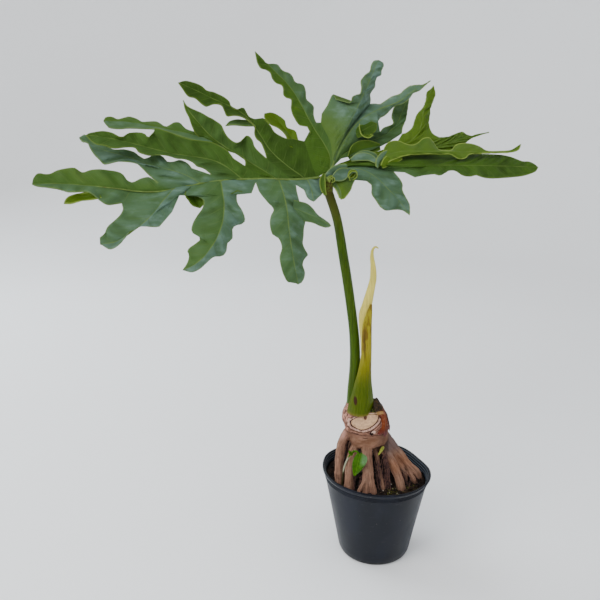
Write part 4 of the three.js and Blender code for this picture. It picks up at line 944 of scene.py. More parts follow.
# Ribs: radius at the stalk as a share of the midrib's, radius at the end, and the points they run
# through.
RIBS = [
    (1, 0.4, [(-3, 6), (30, 3), (60, 4), (95, 3), (120, 0), (140, -4), (160, -8), (180, -8),
              (200, -5), (225, -2), (250, 0), (262, 0)]),
    (0.95, 0.8, [(0, 3), (-8, 14), (-12, 20), (-17, 34), (-23, 45)]),
    (0.95, 0.8, [(4, 5), (-1.6, 8), (-12, 15), (-28, 20.5), (-40, 22)]),
]


def pairs(text):
    """The points of a line, from numbers with a comma between points."""
    return [[float(number) for number in point.split()] for point in text.split(",")]


def lobe_table(text):
    """A lobe a row: its vein, its fore and aft edges, and how far the vein, the fore edge and the
    aft edge sink. Where it joins the next lobe along its whole length, an edge is left out."""
    fields = ("vein", "fore", "aft", "sink", "fore sink", "aft sink")
    return [{field: pairs(part) for field, part in zip(fields, row.split("|")) if part.strip()}
            for row in text.split(";")]


# The webs are the blade between neighbouring lobes, from the rib to the notch.
FAR_WEBS = [pairs(web) for web in """
150 -6, 163 0 | 104 3, 112 9 | 62 4, 78 19 | 34 3, 55 28 | 8 5, 13 49 | -10 17, -15 45, -9 73
| -12.5 20, -21 38, -40 67, -55 84, -69 99 | -13.6 21, -24 36, -46 54, -72 62 | -14.6 22, -25 30,
-32 31, -50 36, -75 47, -97 61""".split("|")]
FAR_LOBES = lobe_table("""
150 -6, 165 -8.5, 180 -8, 200 -5, 225 -2, 250 0, 273 0
|
| 170 6.5, 178 5, 184 1.5, 187 1, 191 4, 194 10, 198 12.5, 207 14.5, 215 15.5, 223 14.5, 229 12,
233 14, 236 17, 246 16, 252 14, 258 10.5, 263 10.5, 267 11.5, 271 8
| 3 0 -8 |  | 10 2;
124 0, 135 8, 152 15, 170 21, 190 30, 210 37, 222 44, 231 51
| 167 5, 172 11, 177 18, 181 22, 190 24, 198 24, 205 22, 210 21, 214 26, 219 33, 222 40, 224 46,
228 46
| 120 9, 128 14, 133 22, 140 26, 147 24, 152 24, 156 30, 162 32, 168 30, 172 27, 177 30, 182 35,
190 38, 200 38, 210 44, 220 51, 228 55
| 4 10 14 | -4 2 | 4 7;
83 4, 93 15, 105 24, 122 29, 145 33, 168 40, 190 47, 210 52, 225 54
| 118 16, 125 19, 128 23, 135 27, 144 28, 151 31, 159 32, 168 31, 174 33, 178 35, 181 40, 190 40.5,
200 39, 208 42, 217 44
| 82 22, 88 28, 92 36, 100 43, 107 47, 118 49, 130 51, 138 54, 146 58, 155 62, 161 63, 162 54,
168 53, 171 57, 186 57, 190 53, 195 53, 200 57, 208 59, 216 58, 222 56.5
| 0 -6 -14 | -8 -12 | -6 -14;
48 3.5, 62 15, 78 28, 95 42, 107 54, 116 68, 124 82, 130 98
| 77 25, 80 32, 85 35.5, 91 36, 98 42, 106 46, 115 50, 122 57, 124 64, 126 75, 129 86
| 60 34, 65 42, 66 50, 69 55, 73 55, 76 51, 80 47, 85 48, 90 53, 93 60, 95 68, 101 74, 108 79,
113 83, 119 86, 127 91
| 6 2 -12 | 10 6 | -4 -10;
21 5, 38 22, 50 38, 57 55, 64 72, 72 83, 84 92, 100 101, 116 111, 132.5 120.5
| 56 38, 58 47, 62 52, 63 59, 61 67, 66 73, 74 79, 82 80, 88 79, 90 86, 92 92.5, 100 94, 107 90.5,
112 94, 118 101, 124 103, 129 112
| 22 52, 30 52, 36 55, 42 60, 45 68, 48 73, 52 78, 58 76, 62 77, 66 80, 68 86, 70 90.5, 73 90,
75 87.5, 79 88, 82 92, 84 99, 90 105, 98 109.5, 105 111.5, 109 117, 117 121, 126 123
| 0 6 -16 | -8 0 | 8 -4;
-8 15, -11 30, -8 45, 0 66, 6 88, 11 105, 18 122, 30 140, 47 166
| 8 50, 5 57, 4 64, 7 68, 14 69, 18 78, 20 88, 18 103, 22 104, 25 108, 24 116, 25 121, 31 124,
34 131, 35 138, 39 141, 44 143, 47 152
| -5 72, -3 80, -4 88, -5 94, -2 99, 1 103, 0 115, 1 122, 4 124, 8 125, 10 127, 11 133, 14 138,
19 140, 22 143, 25 149, 30 150, 36 150, 40 153, 44 159
| 4 -14 -42 | -8 -22 | 2 -20;
-11 18.5, -17 34, -27 52, -40 73, -53 93, -64 112, -76 132, -86 150, -93 161
| -13 73, -15 76, -12.5 82, -13 90, -17 97, -20 95, -22 101, -26 107, -31 111, -32 103, -36 99,
-42 98, -48 102, -51 108, -56 111, -60 112, -64 121, -65 130, -71 138, -79 145, -82 153, -87 160
| -71 105, -72 112, -76 118, -80 123, -82 130, -86 137, -91 140, -93 146, -97 153, -97 159
| -8 -22 -46 | -18 -36 | -12 -36;
-13 20.5, -23 38, -44 68, -62 83, -80 93, -103 103, -118 114, -130 122, -149 134
| -75 99.5, -80 99, -88 104, -97 110, -107 114, -115 121, -123 126, -133 127.5, -140 128.5
| -70 70, -72 77, -84 85, -97 97, -108 101, -117 108, -123 115, -133 120, -141 127
| -4 -14 -30 | -4 -22 | 4 -18;
-14 21.5, -27 34, -50 46, -75 57, -93 72, -105 91, -118 112
| -78 68, -85 70.5, -90 74, -90 82, -93 90, -97 97, -107 105
| -100 69, -106 79, -111 92, -115 103
| 6 10 12 | 6 8 | 12 14""")
NEAR_WEBS = [pairs(web) for web in """
150 -6, 176 -13, 197 -19 | 128 -1, 144 -12 | 70 4, 70 0 | 33 3, 30 -3 | 3 3, 2 -8""".split("|")]
NEAR_LOBES = lobe_table("""
150 -6, 165 -8.5, 180 -8, 200 -5, 225 -2, 250 0, 273 0
|
| 203 -20, 209 -20.5, 214 -18, 217 -15, 221 -11, 226 -8, 237 -8, 243 -8, 252 -5, 262 -3.5, 270 -2
| 3 0 -8 |  | -6 -6;
148 -5, 160 -18, 172 -32, 188 -45, 205 -55, 218 -57
| 196 -24, 199 -30, 204 -35, 210 -40, 214 -47, 219 -52
| 144 -18, 148 -26, 154 -29, 158 -34, 161 -40, 166 -42, 175 -41.5, 182 -41, 188 -44, 194 -48,
198 -54, 203 -59, 210 -62
| -14 -18 -8 | -6 -12 | -16 -16;
104 2, 103 -10, 103 -25, 107 -42, 114 -56, 125 -70, 136 -79, 147 -83.5
| 134 -12, 128 -13, 122 -17, 123 -24, 129 -32, 134 -40, 135.5 -46, 133 -51, 131 -48.5, 127 -50,
127.5 -54, 133 -59, 141 -65, 140 -70, 142 -77, 145 -81
| 72 -5, 74 -9.5, 78 -12.5, 83 -11.5, 86.5 -8, 88.5 -7, 90 -14, 90 -20, 86 -28, 84 -36, 86 -40.5,
93 -42, 97 -45, 97.5 -52, 98.5 -56, 103 -59, 105 -67, 109 -71.5, 117 -72, 125 -78, 131 -83, 139 -86
| -22 -22 -2 | -4 -14 | -10 -14;
47 3.5, 44 -10, 42 -25, 42 -50, 41 -75, 39 -102
| 69 -6, 66 -12, 61 -19, 56 -25, 55 -28, 58 -33, 60 -39, 60 -48, 58 -53, 54 -55, 51.5 -60, 51 -66,
54 -74, 54 -84, 52 -93, 49 -99, 43 -100
| 30 -10, 29 -17, 28 -24, 27 -32, 25 -40, 27 -46, 28.5 -55, 30 -62, 28 -69, 26 -73.5, 30 -77,
32.5 -83, 31 -90, 32.5 -96, 35 -100
| -24 -24 2 | -8 -14 | -12 -8;
18 4, 15 -8, 14 -20
| 27 -4, 24 -5, 22 -10, 20 -16, 16 -19.5
| 5 -13, 9 -16, 12 -19
| -6 -8 -4 | -2 -4 | -6 -6""")
BACK_WEBS = [pairs(web) for web in """
0 10, -16 21, -36 27, -62 36, -85 46, -97 60 | -1 9, -30 24, -62 32, -100 41, -139 56 | -1.4 8.4,
-30 22.5, -62 27, -100 31, -150 33 | -1.8 7.5, -20 16, -45 18, -76 12 | -2.2 6.5, -20 9, -32 2
| -2.6 5, -6 -3""".split("|")]
BACK_LOBES = lobe_table("""
-0.6 9.5, -30 25, -62 34, -95 46, -113 58, -122 72, -129 90, -138 108, -151 127
| -101 61, -110 68, -116 79, -121 87, -131 97, -136 106, -140 117, -147 123
| -133 60, -131 67, -132 76, -136 86, -138 93, -144 104, -150 115
| 0 0 -16 | -4 -8 | 2 -6;
-1.2 8.7, -30 23.5, -62 30, -100 37, -135 45, -165 54, -185 60, -201 63.5
| -150 57, -160 61, -169 63.5, -173 60, -180 58.5, -190 61
| -158 42, -168 49, -177 55, -190 60
| 0 2 0 | 4 2 | -2 0;
-1.6 8, -12 15, -28 20.5, -45 22, -62 20.5, -90 20, -130 20, -170 19.5, -210 18.5, -247 17
| -170 34, -195 34, -208 33, -218 30.5, -230 25, -238 24.5, -244 21
| -79 11, -83 13, -88 11, -92 11, -96 6, -101 4, -107 5, -111 9, -117 11, -122 8, -127 7, -133 10,
-139 13, -146 12.5, -152 7.5, -160 5.5, -169 7, -177 4, -190 3, -205 4, -221 5.5, -234 8.5,
-243 12.5
| -10 -18 -24 | -8 -18 | -14 -22;
-2 7, -20 14, -36 16, -47 12, -56 4, -65 -9, -72 -20, -81 -40
| -78 8, -81 2, -82 -4, -80.5 -11, -82 -19, -84 -27, -83 -34
| -38 -1, -44 1, -48 0, -47.5 -8, -46 -15, -49 -23, -52 -30, -56 -34, -65 -33.5, -75 -34.5, -79 -38
| -14 -14 8 | -8 -2 | -6 0;
-2.4 6, -10 0, -14 -10, -13 -20.5
| -29 -2, -25 -10, -20 -16, -16 -20
| -9 -9, -10.5 -15, -11 -19
| -4 -6 -4 | -2 -3 | -4 -4""")
SIDE_LOBES = lobe_table("""
106 49, 125 56, 145 61, 165 66, 185 70, 208 71
| 108 44, 132 52, 150 59, 160 61.5, 170 62, 185 62.5, 195 61.5, 204 63.5
| 112 56, 124 60, 131 63, 136 70, 141 70.5, 146 67, 150 65, 154 68, 158 71, 165 71, 172 70.5,
177 74, 184 76.5, 190 74.5, 195 73, 200 76, 206 75
| 4 8 2 | 0 2 | 12 12;
62 71, 72 71.5, 82 71.5, 91 67.5
| 60 67, 70 67, 82 68
| 64 75, 71 75, 78 75.5, 86 73
| 6 8 4 | 2 2 | 8 8;
24 40, 26 54, 32 67, 40 77, 49 83.5
| 31 44, 31 56, 37 65, 45 70, 50 78
| 18 44, 19 54, 20 62, 28 66, 29 75, 34 81, 42 85
| 8 12 2 | 2 0 | 12 8;
-44 58, -54 64, -63 69, -71 73
| -42 62, -50 69, -57 72.5, -65 75.5
| -46 54, -55 57, -63 59, -69 65
| -8 -10 -4 | -2 -2 | -12 -10;
216 -9, 225 -11.5, 235 -13.5, 247 -18.5
| 218 -6, 228 -8, 238 -10, 245 -13.5
| 214 -14, 222 -15.5, 232 -16.5, 241 -19
| 3 3 0 | 1 1 | 3 3;
130 -4, 130 -12, 128.5 -19, 126 -24.5
| 137 -5, 139 -12, 136 -17, 133 -22
| 123 -4, 123.5 -11, 122 -17, 121.5 -22
| 8 8 2 | 0 -2 | 0 -2;
36 -26, 24 -31, 12 -37, -1 -45
| 34 -18, 27 -20, 21 -22, 15 -28, 12 -33, 6 -38, 1 -42
| 34 -38, 25 -40, 18 -41.5, 10 -45, 3 -47
| -4 -4 -6 | 6 2 | 2 0;
-60 22, -75 33, -90 37, -120 37.5, -150 37.5, -185 37, -215 38, -236 48
| -60 26, -68 33, -73 43, -79 49, -90 51, -98 47, -105 45.5, -113 49, -120 54.5, -128 55, -131 47,
-134 40, -141 38.8, -149 39.5, -155 45.5, -163 48.5, -176 47.5, -184 44, -190 39, -205 38.4,
-222 40, -229 44
| -60 18, -66 20, -80 27, -95 32, -115 34, -135 34, -147 33.5, -153 28.5, -162 28.5, -168 33.5,
-185 35, -205 36, -222 37, -231 40.5
| -22 -16 -20 | -12 -10 | -14 -16""")


def blade_point(u, v, sink, near_slope):
    """base + along·u + back·v·cos(slope) + up·v·sin(slope), with the near slope where v is below
    0, and then "sink" mm further along the line of sight."""
    slope = np.radians(np.where(v < 0, near_slope, FAR_SLOPE))
    flat = (LEAF_BASE + ALONG * u[..., None] + BACK * (v * np.cos(slope))[..., None]
            + np.array([0, 0, 1]) * (v * np.sin(slope))[..., None])
    sight = flat - EYE
    return flat + sight / np.linalg.norm(sight, axis=-1, keepdims=True) * sink[..., None]


def rows_by_place(edge, vein):
    """Where along an edge each row ends. With the edge's own share e and the furthest place p on
    the vein that the edge has passed by then, rows are even steps of 0.15·e + 0.85·p, so that
    they stay square to the vein beside a tooth."""
    e = np.linspace(0, 1, 160)
    beside = along(edge, e)[:, None]
    away = np.linalg.norm(beside - vein[None], axis=2)
    passed = np.maximum.accumulate(away.argmin(axis=1)) / (len(vein) - 1)
    both = 0.15 * e + 0.85 * passed
    both = (both - both[0]) / (both[-1] - both[0])
    return np.interp(np.linspace(0, 1, len(vein)), both, e)


def lobe_side(lobe, side, web, other_web, leaf, number, root, painted_sheen, web_painted_sheen, tone, rim, veined):
    """Half a lobe as a grid: rows from root to tip, columns from the edge to the vein. A point is
    (1 - t)·vein + t·edge, and its sink is the vein's plus t^1.4 of the difference. On top of this
    come waves on the free edge, folds and swellings that slant from the vein, and a groove at it.
    Its data are the place along and across the vein, the share of the way, the painted bluish
    sheen, the distance to the free edge, 0, the tone, and how strong the vein and the rim show. As
    painted light, the sheen and the tone are raised where the folds and swellings bulge towards the
    viewer."""
    sign = 0 if side == "fore" else 1
    vein_length = reach(lobe["vein"])
    free_steps = max(8, round(vein_length / ROW_PITCH))
    web_steps = WEB_STEPS if web else 0
    i = np.arange(free_steps + web_steps + 1)
    free = np.clip((i - web_steps) / free_steps, 0, 1)
    share = min(0.55, 0.55 * (reach(web) + other_web) / vein_length) if web else 0
    s = np.where(i < web_steps, share * i / max(web_steps, 1), share + (1 - share) * free)
    vein = along(lobe["vein"], s)
    margin = [*([web[-1]] if web else []), *lobe[side], lobe["vein"][-1]]
    free[web_steps:] = rows_by_place(margin, vein[web_steps:])
    edge = along(margin, free[web_steps:])
    if web:
        edge = np.vstack([along(web, i[:web_steps] / web_steps), edge])
    a, b, c = lobe["sink"][0]
    near, far = lobe[side + " sink"][0]
    vein_sink = lean(root, root + a, root + b, root + c, s)
    wave = np.sin(np.pi * free)
    run = 2 * np.pi * free * vein_length
    ruffle = leaf.ruffle / MM * np.sin(run / RUFFLE_GAP + number + 2 * sign) * wave
    edge_sink = lean(root, root + near, root + far, root + c, free) + ruffle
    edge_sink = np.where(i < web_steps, 0, edge_sink)

    t = np.linspace(1, 0, COLUMNS + 1)[None]**1.5
    place = (1 - t)[..., None] * vein[:, None] + t[..., None] * edge[:, None]
    width = np.linalg.norm(edge - vein, axis=1)[:, None]
    across = t * width
    s = s[:, None] + 0 * t
    down = s * vein_length
    swell = np.cos(2 * np.pi * (down - 0.85 * across + 3 * number) / SIDE_VEIN_GAP)
    swell = swell * np.sin(np.pi * t)**2
    fold = np.sin(2 * np.pi * (down - 0.5 * across) / (19 + number % 4) + 1.7 * number + sign)
    fold = fold * np.sin(np.pi * t**0.8)
    room = np.clip(width / 14, 0, 1)
    groove = bell(across, 0, 2.4) * (1 - t**2)**2 * (1 - 0.6 * s)
    fine = 0.7 * (np.sin(run / FRILL_GAP + 2 * number + sign) * wave)[:, None] * t**4
    sink = (vein_sink[:, None] + (edge_sink - vein_sink)[:, None] * t**1.4
            - leaf.quilting / MM * (swell + 1.5 * fold) * room + groove + fine)
    on_web = (i < web_steps)[:, None] & (t <= 1)
    beside = np.where(on_web, 1, (1 - free[:, None])**2) * t**2
    painted_sheen = painted_sheen + (web_painted_sheen - painted_sheen) * beside
    to_edge = np.where(on_web, FAR_FROM_EDGE, across / np.maximum(t, 1e-3) - across)
    # Painted light: the ridges of the folds and swellings get more painted sheen and a lighter
    # tone.
    light = 0.5 * (swell * 0.5 + fold) * room
    data = np.broadcast_arrays(down, across * (1 if sign else -1), s, painted_sheen * (1 + 0.6 * light),
                               to_edge, 0, tone + 0.16 * light, veined, rim)
    return place[..., 0], place[..., 1], sink, np.stack(data, -1)


def lobe_sheet(lobes, webs, near_slope, first, leaf, looks, root=0.0):
    """Lobes side by side along a rib, joined at the webs between them. Where two lobes meet, their
    painted sheen is the mean of their facing halves."""
    points, cells, data, start = [], [], [], 0
    for n, lobe in enumerate(lobes):
        fore_web = n - (0 if "fore" in lobes[0] else 1)
        pair = [webs[max(fore_web, 0)], webs[fore_web + 1]] if webs else [None, None]
        look = looks[n]
        sides = []
        for k, side in enumerate(("fore", "aft")):
            if side in lobe:
                beside = looks[min(max(n + (1 if k else -1), 0), len(looks) - 1)]
                half = lobe_side(lobe, side, pair[k], reach(pair[1 - k]) if webs else 0, leaf,
                                 first + n, root, look[k], (look[k] + beside[1 - k]) / 2,
                                 look[2], look[3], 1 if webs else 0.35)
                sides.append([values[:, ::-1] for values in half] if k else half)
        u, v, sink, detail = [
            np.concatenate([sides[0][j], *[half[j][:, 1:] for half in sides[1:]]], axis=1)
            for j in range(4)]
        points.append(blade_point(u, v, sink, near_slope).reshape(-1, 3))
        cells.append(grid_cells(*u.shape) + start)
        data.append(detail.reshape(-1, 9))
        start += u.size
    return facing(np.vstack(points), np.vstack(cells), np.vstack(data))


def facing(points, cells, data):
    """Welds a sheet and turns its triangles to the viewer. Data become one row for each corner."""
    corners = data[cells]
    points, cells, kept = weld(points, cells)
    corners = corners[kept]
    a, b, c = points[cells.T]
    if np.einsum("ij,ij", np.cross(b - a, c - a), EYE - a) < 0:
        cells, corners = cells[:, ::-1], corners[:, ::-1]
    return points, cells, corners.reshape(-1, 9)


def curl(route, across, width, roll, look, lift, sheets):
    """A narrow strip of blade that rolls up: at turn q from -roll/2 to roll/2 a point is path +
    radius·(sin q·first + (1 - cos q)·second), where radius is width/roll, in the directions of
    the path's frames. It lies "lift" mm before the blade."""
    rows, columns = 32, 13
    behind = min(sink for sink in (sink_at(place, sheets) for place in route) if sink < 60)
    u, v = along(route, np.linspace(0, 1, rows)).T
    path = blade_point(u, v, np.full(rows, behind - lift), NEAR_SLOPE)
    _, first, second = frames(path, across)
    second = second * (np.sign(np.einsum("ij,ij->i", second, EYE - path))[:, None]
                       * math.copysign(1, roll))
    roll = math.radians(abs(roll) + 1)
    q = np.linspace(-0.5, 0.5, columns)[None]
    wide = width * (0.25 + 0.75 * np.sin(np.pi * np.linspace(0.06, 0.94, rows)))[:, None]
    radius = wide / roll
    points = (path[:, None] + (radius * np.sin(q * roll))[..., None] * first[:, None]
              + (radius * (1 - np.cos(q * roll)))[..., None] * second[:, None])
    painted_sheen, tone, rim = look
    data = np.broadcast_arrays(0, FAR_FROM_EDGE, 0, painted_sheen, wide * (0.5 - np.abs(q)), 0, tone, 0,
                               rim)
    return facing(points.reshape(-1, 3), grid_cells(rows, columns),
                  np.stack(data, -1).reshape(-1, 9))


def sink_at(place, sheets):
    """How far behind the drawing the blade lies there: the nearest crossing of the line of sight
    with the sheets' triangles."""
    flat = blade_point(*np.array([*place, 0.0]), NEAR_SLOPE)
    distance = np.linalg.norm(flat - EYE)
    ray = (flat - EYE) / distance
    nearest = np.inf
    for points, cells, _ in sheets:
        a, b, c = points[cells.T]
        p = np.cross(ray, c - a)
        scale = np.einsum("ij,ij->i", b - a, p)
        scale = np.where(np.abs(scale) < 1e-9, 1e-9, scale)
        first = np.einsum("ij,ij->i", EYE - a, p) / scale
        q = np.cross(EYE - a, b - a)
        second = q @ ray / scale
        away = np.einsum("ij,ij->i", c - a, q) / scale
        hit = (first >= -1e-6) & (second >= -1e-6) & (first + second <= 1 + 1e-6)
        nearest = min([nearest, *away[hit]])
    return nearest - distance


def leaf_body(sheet, half):
    """A sheet with the blade's thickness and a keel under each vein."""
    points, cells, corners = sheet
    across, share = np.full(len(points), float(FAR_FROM_EDGE)), np.zeros(len(points))
    np.minimum.at(across, cells.ravel(), np.abs(corners[:, 1]))
    share[cells.ravel()] = corners[:, 2]
    keel = 0.9 * bell(across, 0, 1.5) * (1 - 0.75 * share)
    points, cells, source, side = thicken(points, cells, half, half + keel)
    corners = corners[source]
    corners[:, 5] = side
    return points, cells, {"vein": corners[:, :3], "lobe": corners[:, 3:6], "look": corners[:, 6:]}


# How each lobe looks, from the leaf's tip to its stalk: the painted bluish sheen on its fore and
# its aft half, its tone from 0 (dark green) to 1 (yellow-green), and how pale its rim is.
FAR_LOOKS = [(0.05, 0.1, 0.55, 0.3), (0.8, 0.6, 0.5, 0.4), (0.1, 0.05, 0.4, 0.3),
             (0, 0.1, 0.35, 0.4), (0, 0, 0.2, 0.4), (0, 0.35, 0.45, 0.4), (0.8, 1.15, 0.85, 0.4),
             (1, 0.9, 0.75, 0.7), (0.3, 0.3, 0.35, 0.4)]
NEAR_LOOKS = [(0.1, 0.4, 0.5, 0.3), (0.6, 1.2, 0.5, 0.3), (0.25, 1, 0.5, 0.3),
              (0.4, 0.6, 0.45, 0.3), (1, 1, 0.4, 0.3)]
BACK_LOOKS = [(0.05, 0.05, 1, 0.6), (0.1, 0.1, 0.9, 0.4), (0, 0, 0.4, 0.3), (0.85, 0.85, 0.4, 0.6),
              (0.1, 0.4, 0.9, 1)]
SIDE_LOOKS = [(0.5, 0.1, 0.6, 0.3), (0.3, 0.3, 0.7, 0.3), (0, 0, 1, 0.3), (0, 0, 0.4, 0.2),
              (0, 0, 1, 1), (0, 0, 0.6, 0.3), (0.5, 0.4, 0.4, 0.3), (0.1, 0.1, 0.95, 1)]
# Small curled ends of the blade round the stalk's top: the drawing points each runs through, the
# direction of its width, its width, how far it rolls up, its painted sheen, tone and rim, and its
# lift.
CURLS = [
    ([(1.1, -13.8), (2.8, -6.6), (2.1, 1.9), (-1, 9.6)], (1, 0, 0), 7, 130, (0, 0.5, 0.6), 6),
    ([(-4.4, -0.4), (-4.8, 3.6), (-7.5, 6.4), (-10.1, 4.9), (-9.6, 1.1), (-7, -0.5)], (0, 1, 0.2),
     5, 20, (0, 0.7, 1), 8),
    ([(-5.6, 0.7), (-6.3, 3.3), (-8.2, 3.5), (-8, 1.4)], (0, 1, 0.2), 4, 20, (0, 0.5, 1), 8),
    ([(-2.4, 7.2), (-9.6, 12), (-17.8, 16.2), (-27, 19.8)], (0, 0.3, 1), 9, -70,
     (1.1, 0.3, 0.5), 5),
    ([(-9, 4), (-17, 8), (-27.7, 13.5)], (0, 0.3, 1), 13, 50, (1.1, 0.3, 0.5), 4),
    ([(-26.6, 1.7), (-26.7, 7.7), (-30.9, 12.7), (-35, 11.9), (-34.3, 6.5), (-29.9, 2.3)],
     (0, 1, 0.2), 6, 30, (0, 0.95, 0.8), 7),
    ([(-27.7, 4.7), (-30.8, 7.1), (-33.6, 10.3)], (0, 1, 0.6), 5, 60, (0, 1, 0.8), 6),
    ([(-51.2, 71), (-50.3, 65.1), (-51.8, 58.1), (-56.8, 55.4), (-63, 58.2)], (0, 1, 0.3), 9, 30,
     (0, 0.9, 1), 6),
    ([(-30.9, 28.4), (-39.2, 37.1), (-51.1, 41.5), (-68, 42.9)], (0, 0.3, 1), 17, 40,
     (0, 0.6, 0.4), 1),
    ([(-32.7, 26.5), (-42.1, 30.4), (-53, 30.2), (-60.3, 23.5)], (0, 0.5, 1), 9, -60,
     (0.9, 0.4, 0.6), 4),
    ([(-39.4, 32.7), (-49.5, 34.4), (-58.9, 31.9), (-61.9, 26)], (0, 0.5, 1), 8, -60,
     (0.7, 0.4, 0.5), 3),
    ([(-64.7, 18.5), (-75.4, 26.6), (-89.5, 29.8)], (0, 0.4, 1), 11, -80, (0, 0.95, 0.9), 6),
    ([(-58.9, 17.3), (-62.2, 24.7), (-71.4, 33.5), (-81.3, 38)], (0.8, 0.4, -0.6), 8, -70,
     (0.7, 0.5, 0.7), 5),
]


def make_leaf(leaf):
    """Three sheets of lobes, far, near and back, with the side lobes and curls on them, and the
    ribs on top."""
    sheets = [lobe_sheet(FAR_LOBES, FAR_WEBS, NEAR_SLOPE, 0, leaf, FAR_LOOKS),
              lobe_sheet(NEAR_LOBES, NEAR_WEBS, NEAR_SLOPE, 10, leaf, NEAR_LOOKS),
              lobe_sheet(BACK_LOBES, BACK_WEBS, FAR_SLOPE, 20, leaf, BACK_LOOKS)]
    sides = [lobe_sheet([lobe], None, NEAR_SLOPE, 30 + n, leaf, [SIDE_LOOKS[n]],
                        sink_at(lobe["vein"][0], sheets)) for n, lobe in enumerate(SIDE_LOBES)]
    curls = [curl(*about, sheets) for about in CURLS]
    parts = [leaf_body(sheet, leaf.blade / MM / 2) for sheet in sheets + sides + curls]
    piece("leaf_blade_looks", parts, blade_material(leaf), ["leaf_blade"])

    ribs = []
    at = np.linspace(0, 1, 160)
    for thick, thin, points in RIBS:
        thick = thick * leaf.rib / MM
        u, v = along(points, at).T
        radius = steps_between([thick, (thick + thin) / 2.1, thin], at)
        path = blade_point(u, v, 0.25 - radius * 0.1 + 0.2 * at, NEAR_SLOPE)
        ribs.append(tube(path, radius * round_ends(160, 0.02), 20, across=(0, 0, 1)))
    foot = np.array(STALK_ROUTE[-1], float)
    ahead = foot - STALK_ROUTE[-2]
    ahead /= np.linalg.norm(ahead)
    node = [foot + ahead * step + (step * 0.3, 0, 0) for step in (-2.5, 1, 5, 10, 16)]
    ribs.append(rod(node, [4.7, 4.9, 5, 4.7, 3.8], 40, 36, 0.03))
    pale = Finish("leaf ribs", 0.42, specular=0.1)
    x, _, z = pale.millimetres()
    pale.paint(pale.layers(
        pale.tones(pale.noise(7, 3).smooth(0.35, 0.7), leaf.vein, 0.8, 1.2),
        (pale.noise(3, 2).smooth(0.6, 0.75) * 0.5, (0.11, 0.08, 0.02)),
        (oval(x, z, (foot[0], foot[2] + 3)).fade(40, 120),
         pale.mix(pale.noise(2.4, 3).smooth(0.4, 0.65), (0.05, 0.042, 0.006),
                  (0.075, 0.105, 0.012)))))
    pale.relief(pale.noise(0.8, 2), 0.15)
    piece("leaf_ribs", ribs, pale.material, sharp=60)


def blade_material(leaf):
    """Dark to young green by each lobe's tone, with a painted bluish sheen and painted highlight
    streaks, a pale rim and veins over it, and the underside's own green. Side veins leave the main
    vein at a slant and fade outwards."""
    green = Finish("leaf green", 0.55, specular=0.06)
    down, across, share = green.attribute("vein")
    painted_sheen, to_edge, side = green.attribute("lobe")
    tone, strength, rim = green.attribute("look")
    away = abs(across)
    line = (away / ((1 - share * 0.7) * 0.85)).fade(0.4, 1.2) * strength * 0.7
    side_vein = (down - away * 0.85).off_line(SIDE_VEIN_GAP).fade(0.12, 0.55) * away.fade(6, 26)
    side_vein = side_vein * strength * 0.3
    fine_vein = (down - away * 1.1).off_line(3.4).fade(0.05, 0.5) * 0.1
    cloud = green.noise(34, 3)
    small = green.noise(5, 3)
    # Where the ribs meet, less bluish sheen is painted, so the blade there is greener.
    x, _, z = green.millimetres()
    hub = (oval(x, z, HUB)**0.5).fade(12, 40)
    painted_sheen = painted_sheen * (1 - hub * 0.65)
    tone = tone + (cloud - 0.5) * 0.9 + (small - 0.5) * 0.3 + hub * 0.1
    # Painted highlight streaks lie over the strongest painted sheen.
    sheen = (painted_sheen * 1.3 - 0.25).clamped() * green.noise(8, 3, (2.2, 1, 0.8)).smooth(0.46, 0.7)
    below = green.mix((side_vein * 1.4 + line).clamped(),
                      green.tones(small.smooth(0.3, 0.8), leaf.under, 0.8, 1.15),
                      shade(leaf.vein, 1.1))
    colour = green.layers(
        green.tones(tone.smooth(0, 0.6), leaf.upper, 0.55, 1),
        (tone.smooth(0.5, 1.1), leaf.young), ((painted_sheen * (0.45 + cloud * 0.5)).clamped(), leaf.painted_sheen),
        (sheen * 0.4, (0.15, 0.24, 0.2)),
        ((side_vein + fine_vein).clamped(), shade(leaf.vein, 0.8)),
        (to_edge.fade(0.45, 1.5) * rim * 0.8, (0.2, 0.27, 0.05)), (line, leaf.vein),
        (side.smooth(0.6, 0.7), below))
    green.paint(colour, 0.52 + small * 0.12)
    green.relief(green.noise(0.8, 2) * 0.25 + small * 0.8 - side_vein * 1.2 - fine_vein * 1.5, 0.28)
    return green.material


# ---- stalk, sheaths and new leaf ----
STALK_ROUTE = [(-28.6, 8, 166), (-28, 7, 190), (-26.6, 6, 220), (-28, 5, 252), (-33.6, 4, 294),
               (-41.9, 2, 343), (-48.8, 1, 380), (-57.8, 0, 407.5)]
STALK_RADII = [6.4, 6, 5.5, 5.2, 5, 4.8, 4.6, 4.6]
# The sheath's rows: height, left and right edge, and depth in the middle and at the edges.
SHEATH_ROWS = [
    (169, -34.4, -8.4, -14.6, -4), (178, -33.2, -7.2, -14.2, -4.4), (190, -30.1, -7.9, -12.8, -4.6),
    (203, -26.9, -9.4, -10.8, -4.4), (217, -23.5, -10.3, -9, -4.2), (232, -21.2, -10.7, -7.8, -4),
    (254, -20.1, -11, -6.8, -3.8), (269, -19.7, -11.1, -6, -3.6), (280, -16.6, -11.2, -5.2, -3.6),
    (291.5, -12.4, -11.6, -4, -3.9),
]
NEW_LEAF_ROUTE = [(-13.5, 3, 172), (-14.6, 2.4, 204), (-15.4, 1.6, 236), (-16.2, 1, 252),
                  (-18.2, 0.6, 268), (-18.5, 0.4, 280), (-16, 0.2, 290), (-12.8, 0.1, 305),
                  (-10.4, 0, 318), (-10.8, 0, 330), (-12.4, 0, 343), (-11.5, 0, 349),
                  (-9, 0, 351.3), (-5.8, 0, 349.6)]
NEW_LEAF_RADII = [4.6, 4.7, 4.8, 5, 5.4, 5.8, 5.8, 5.6, 4.9, 3.9, 3.2, 2, 0.6]
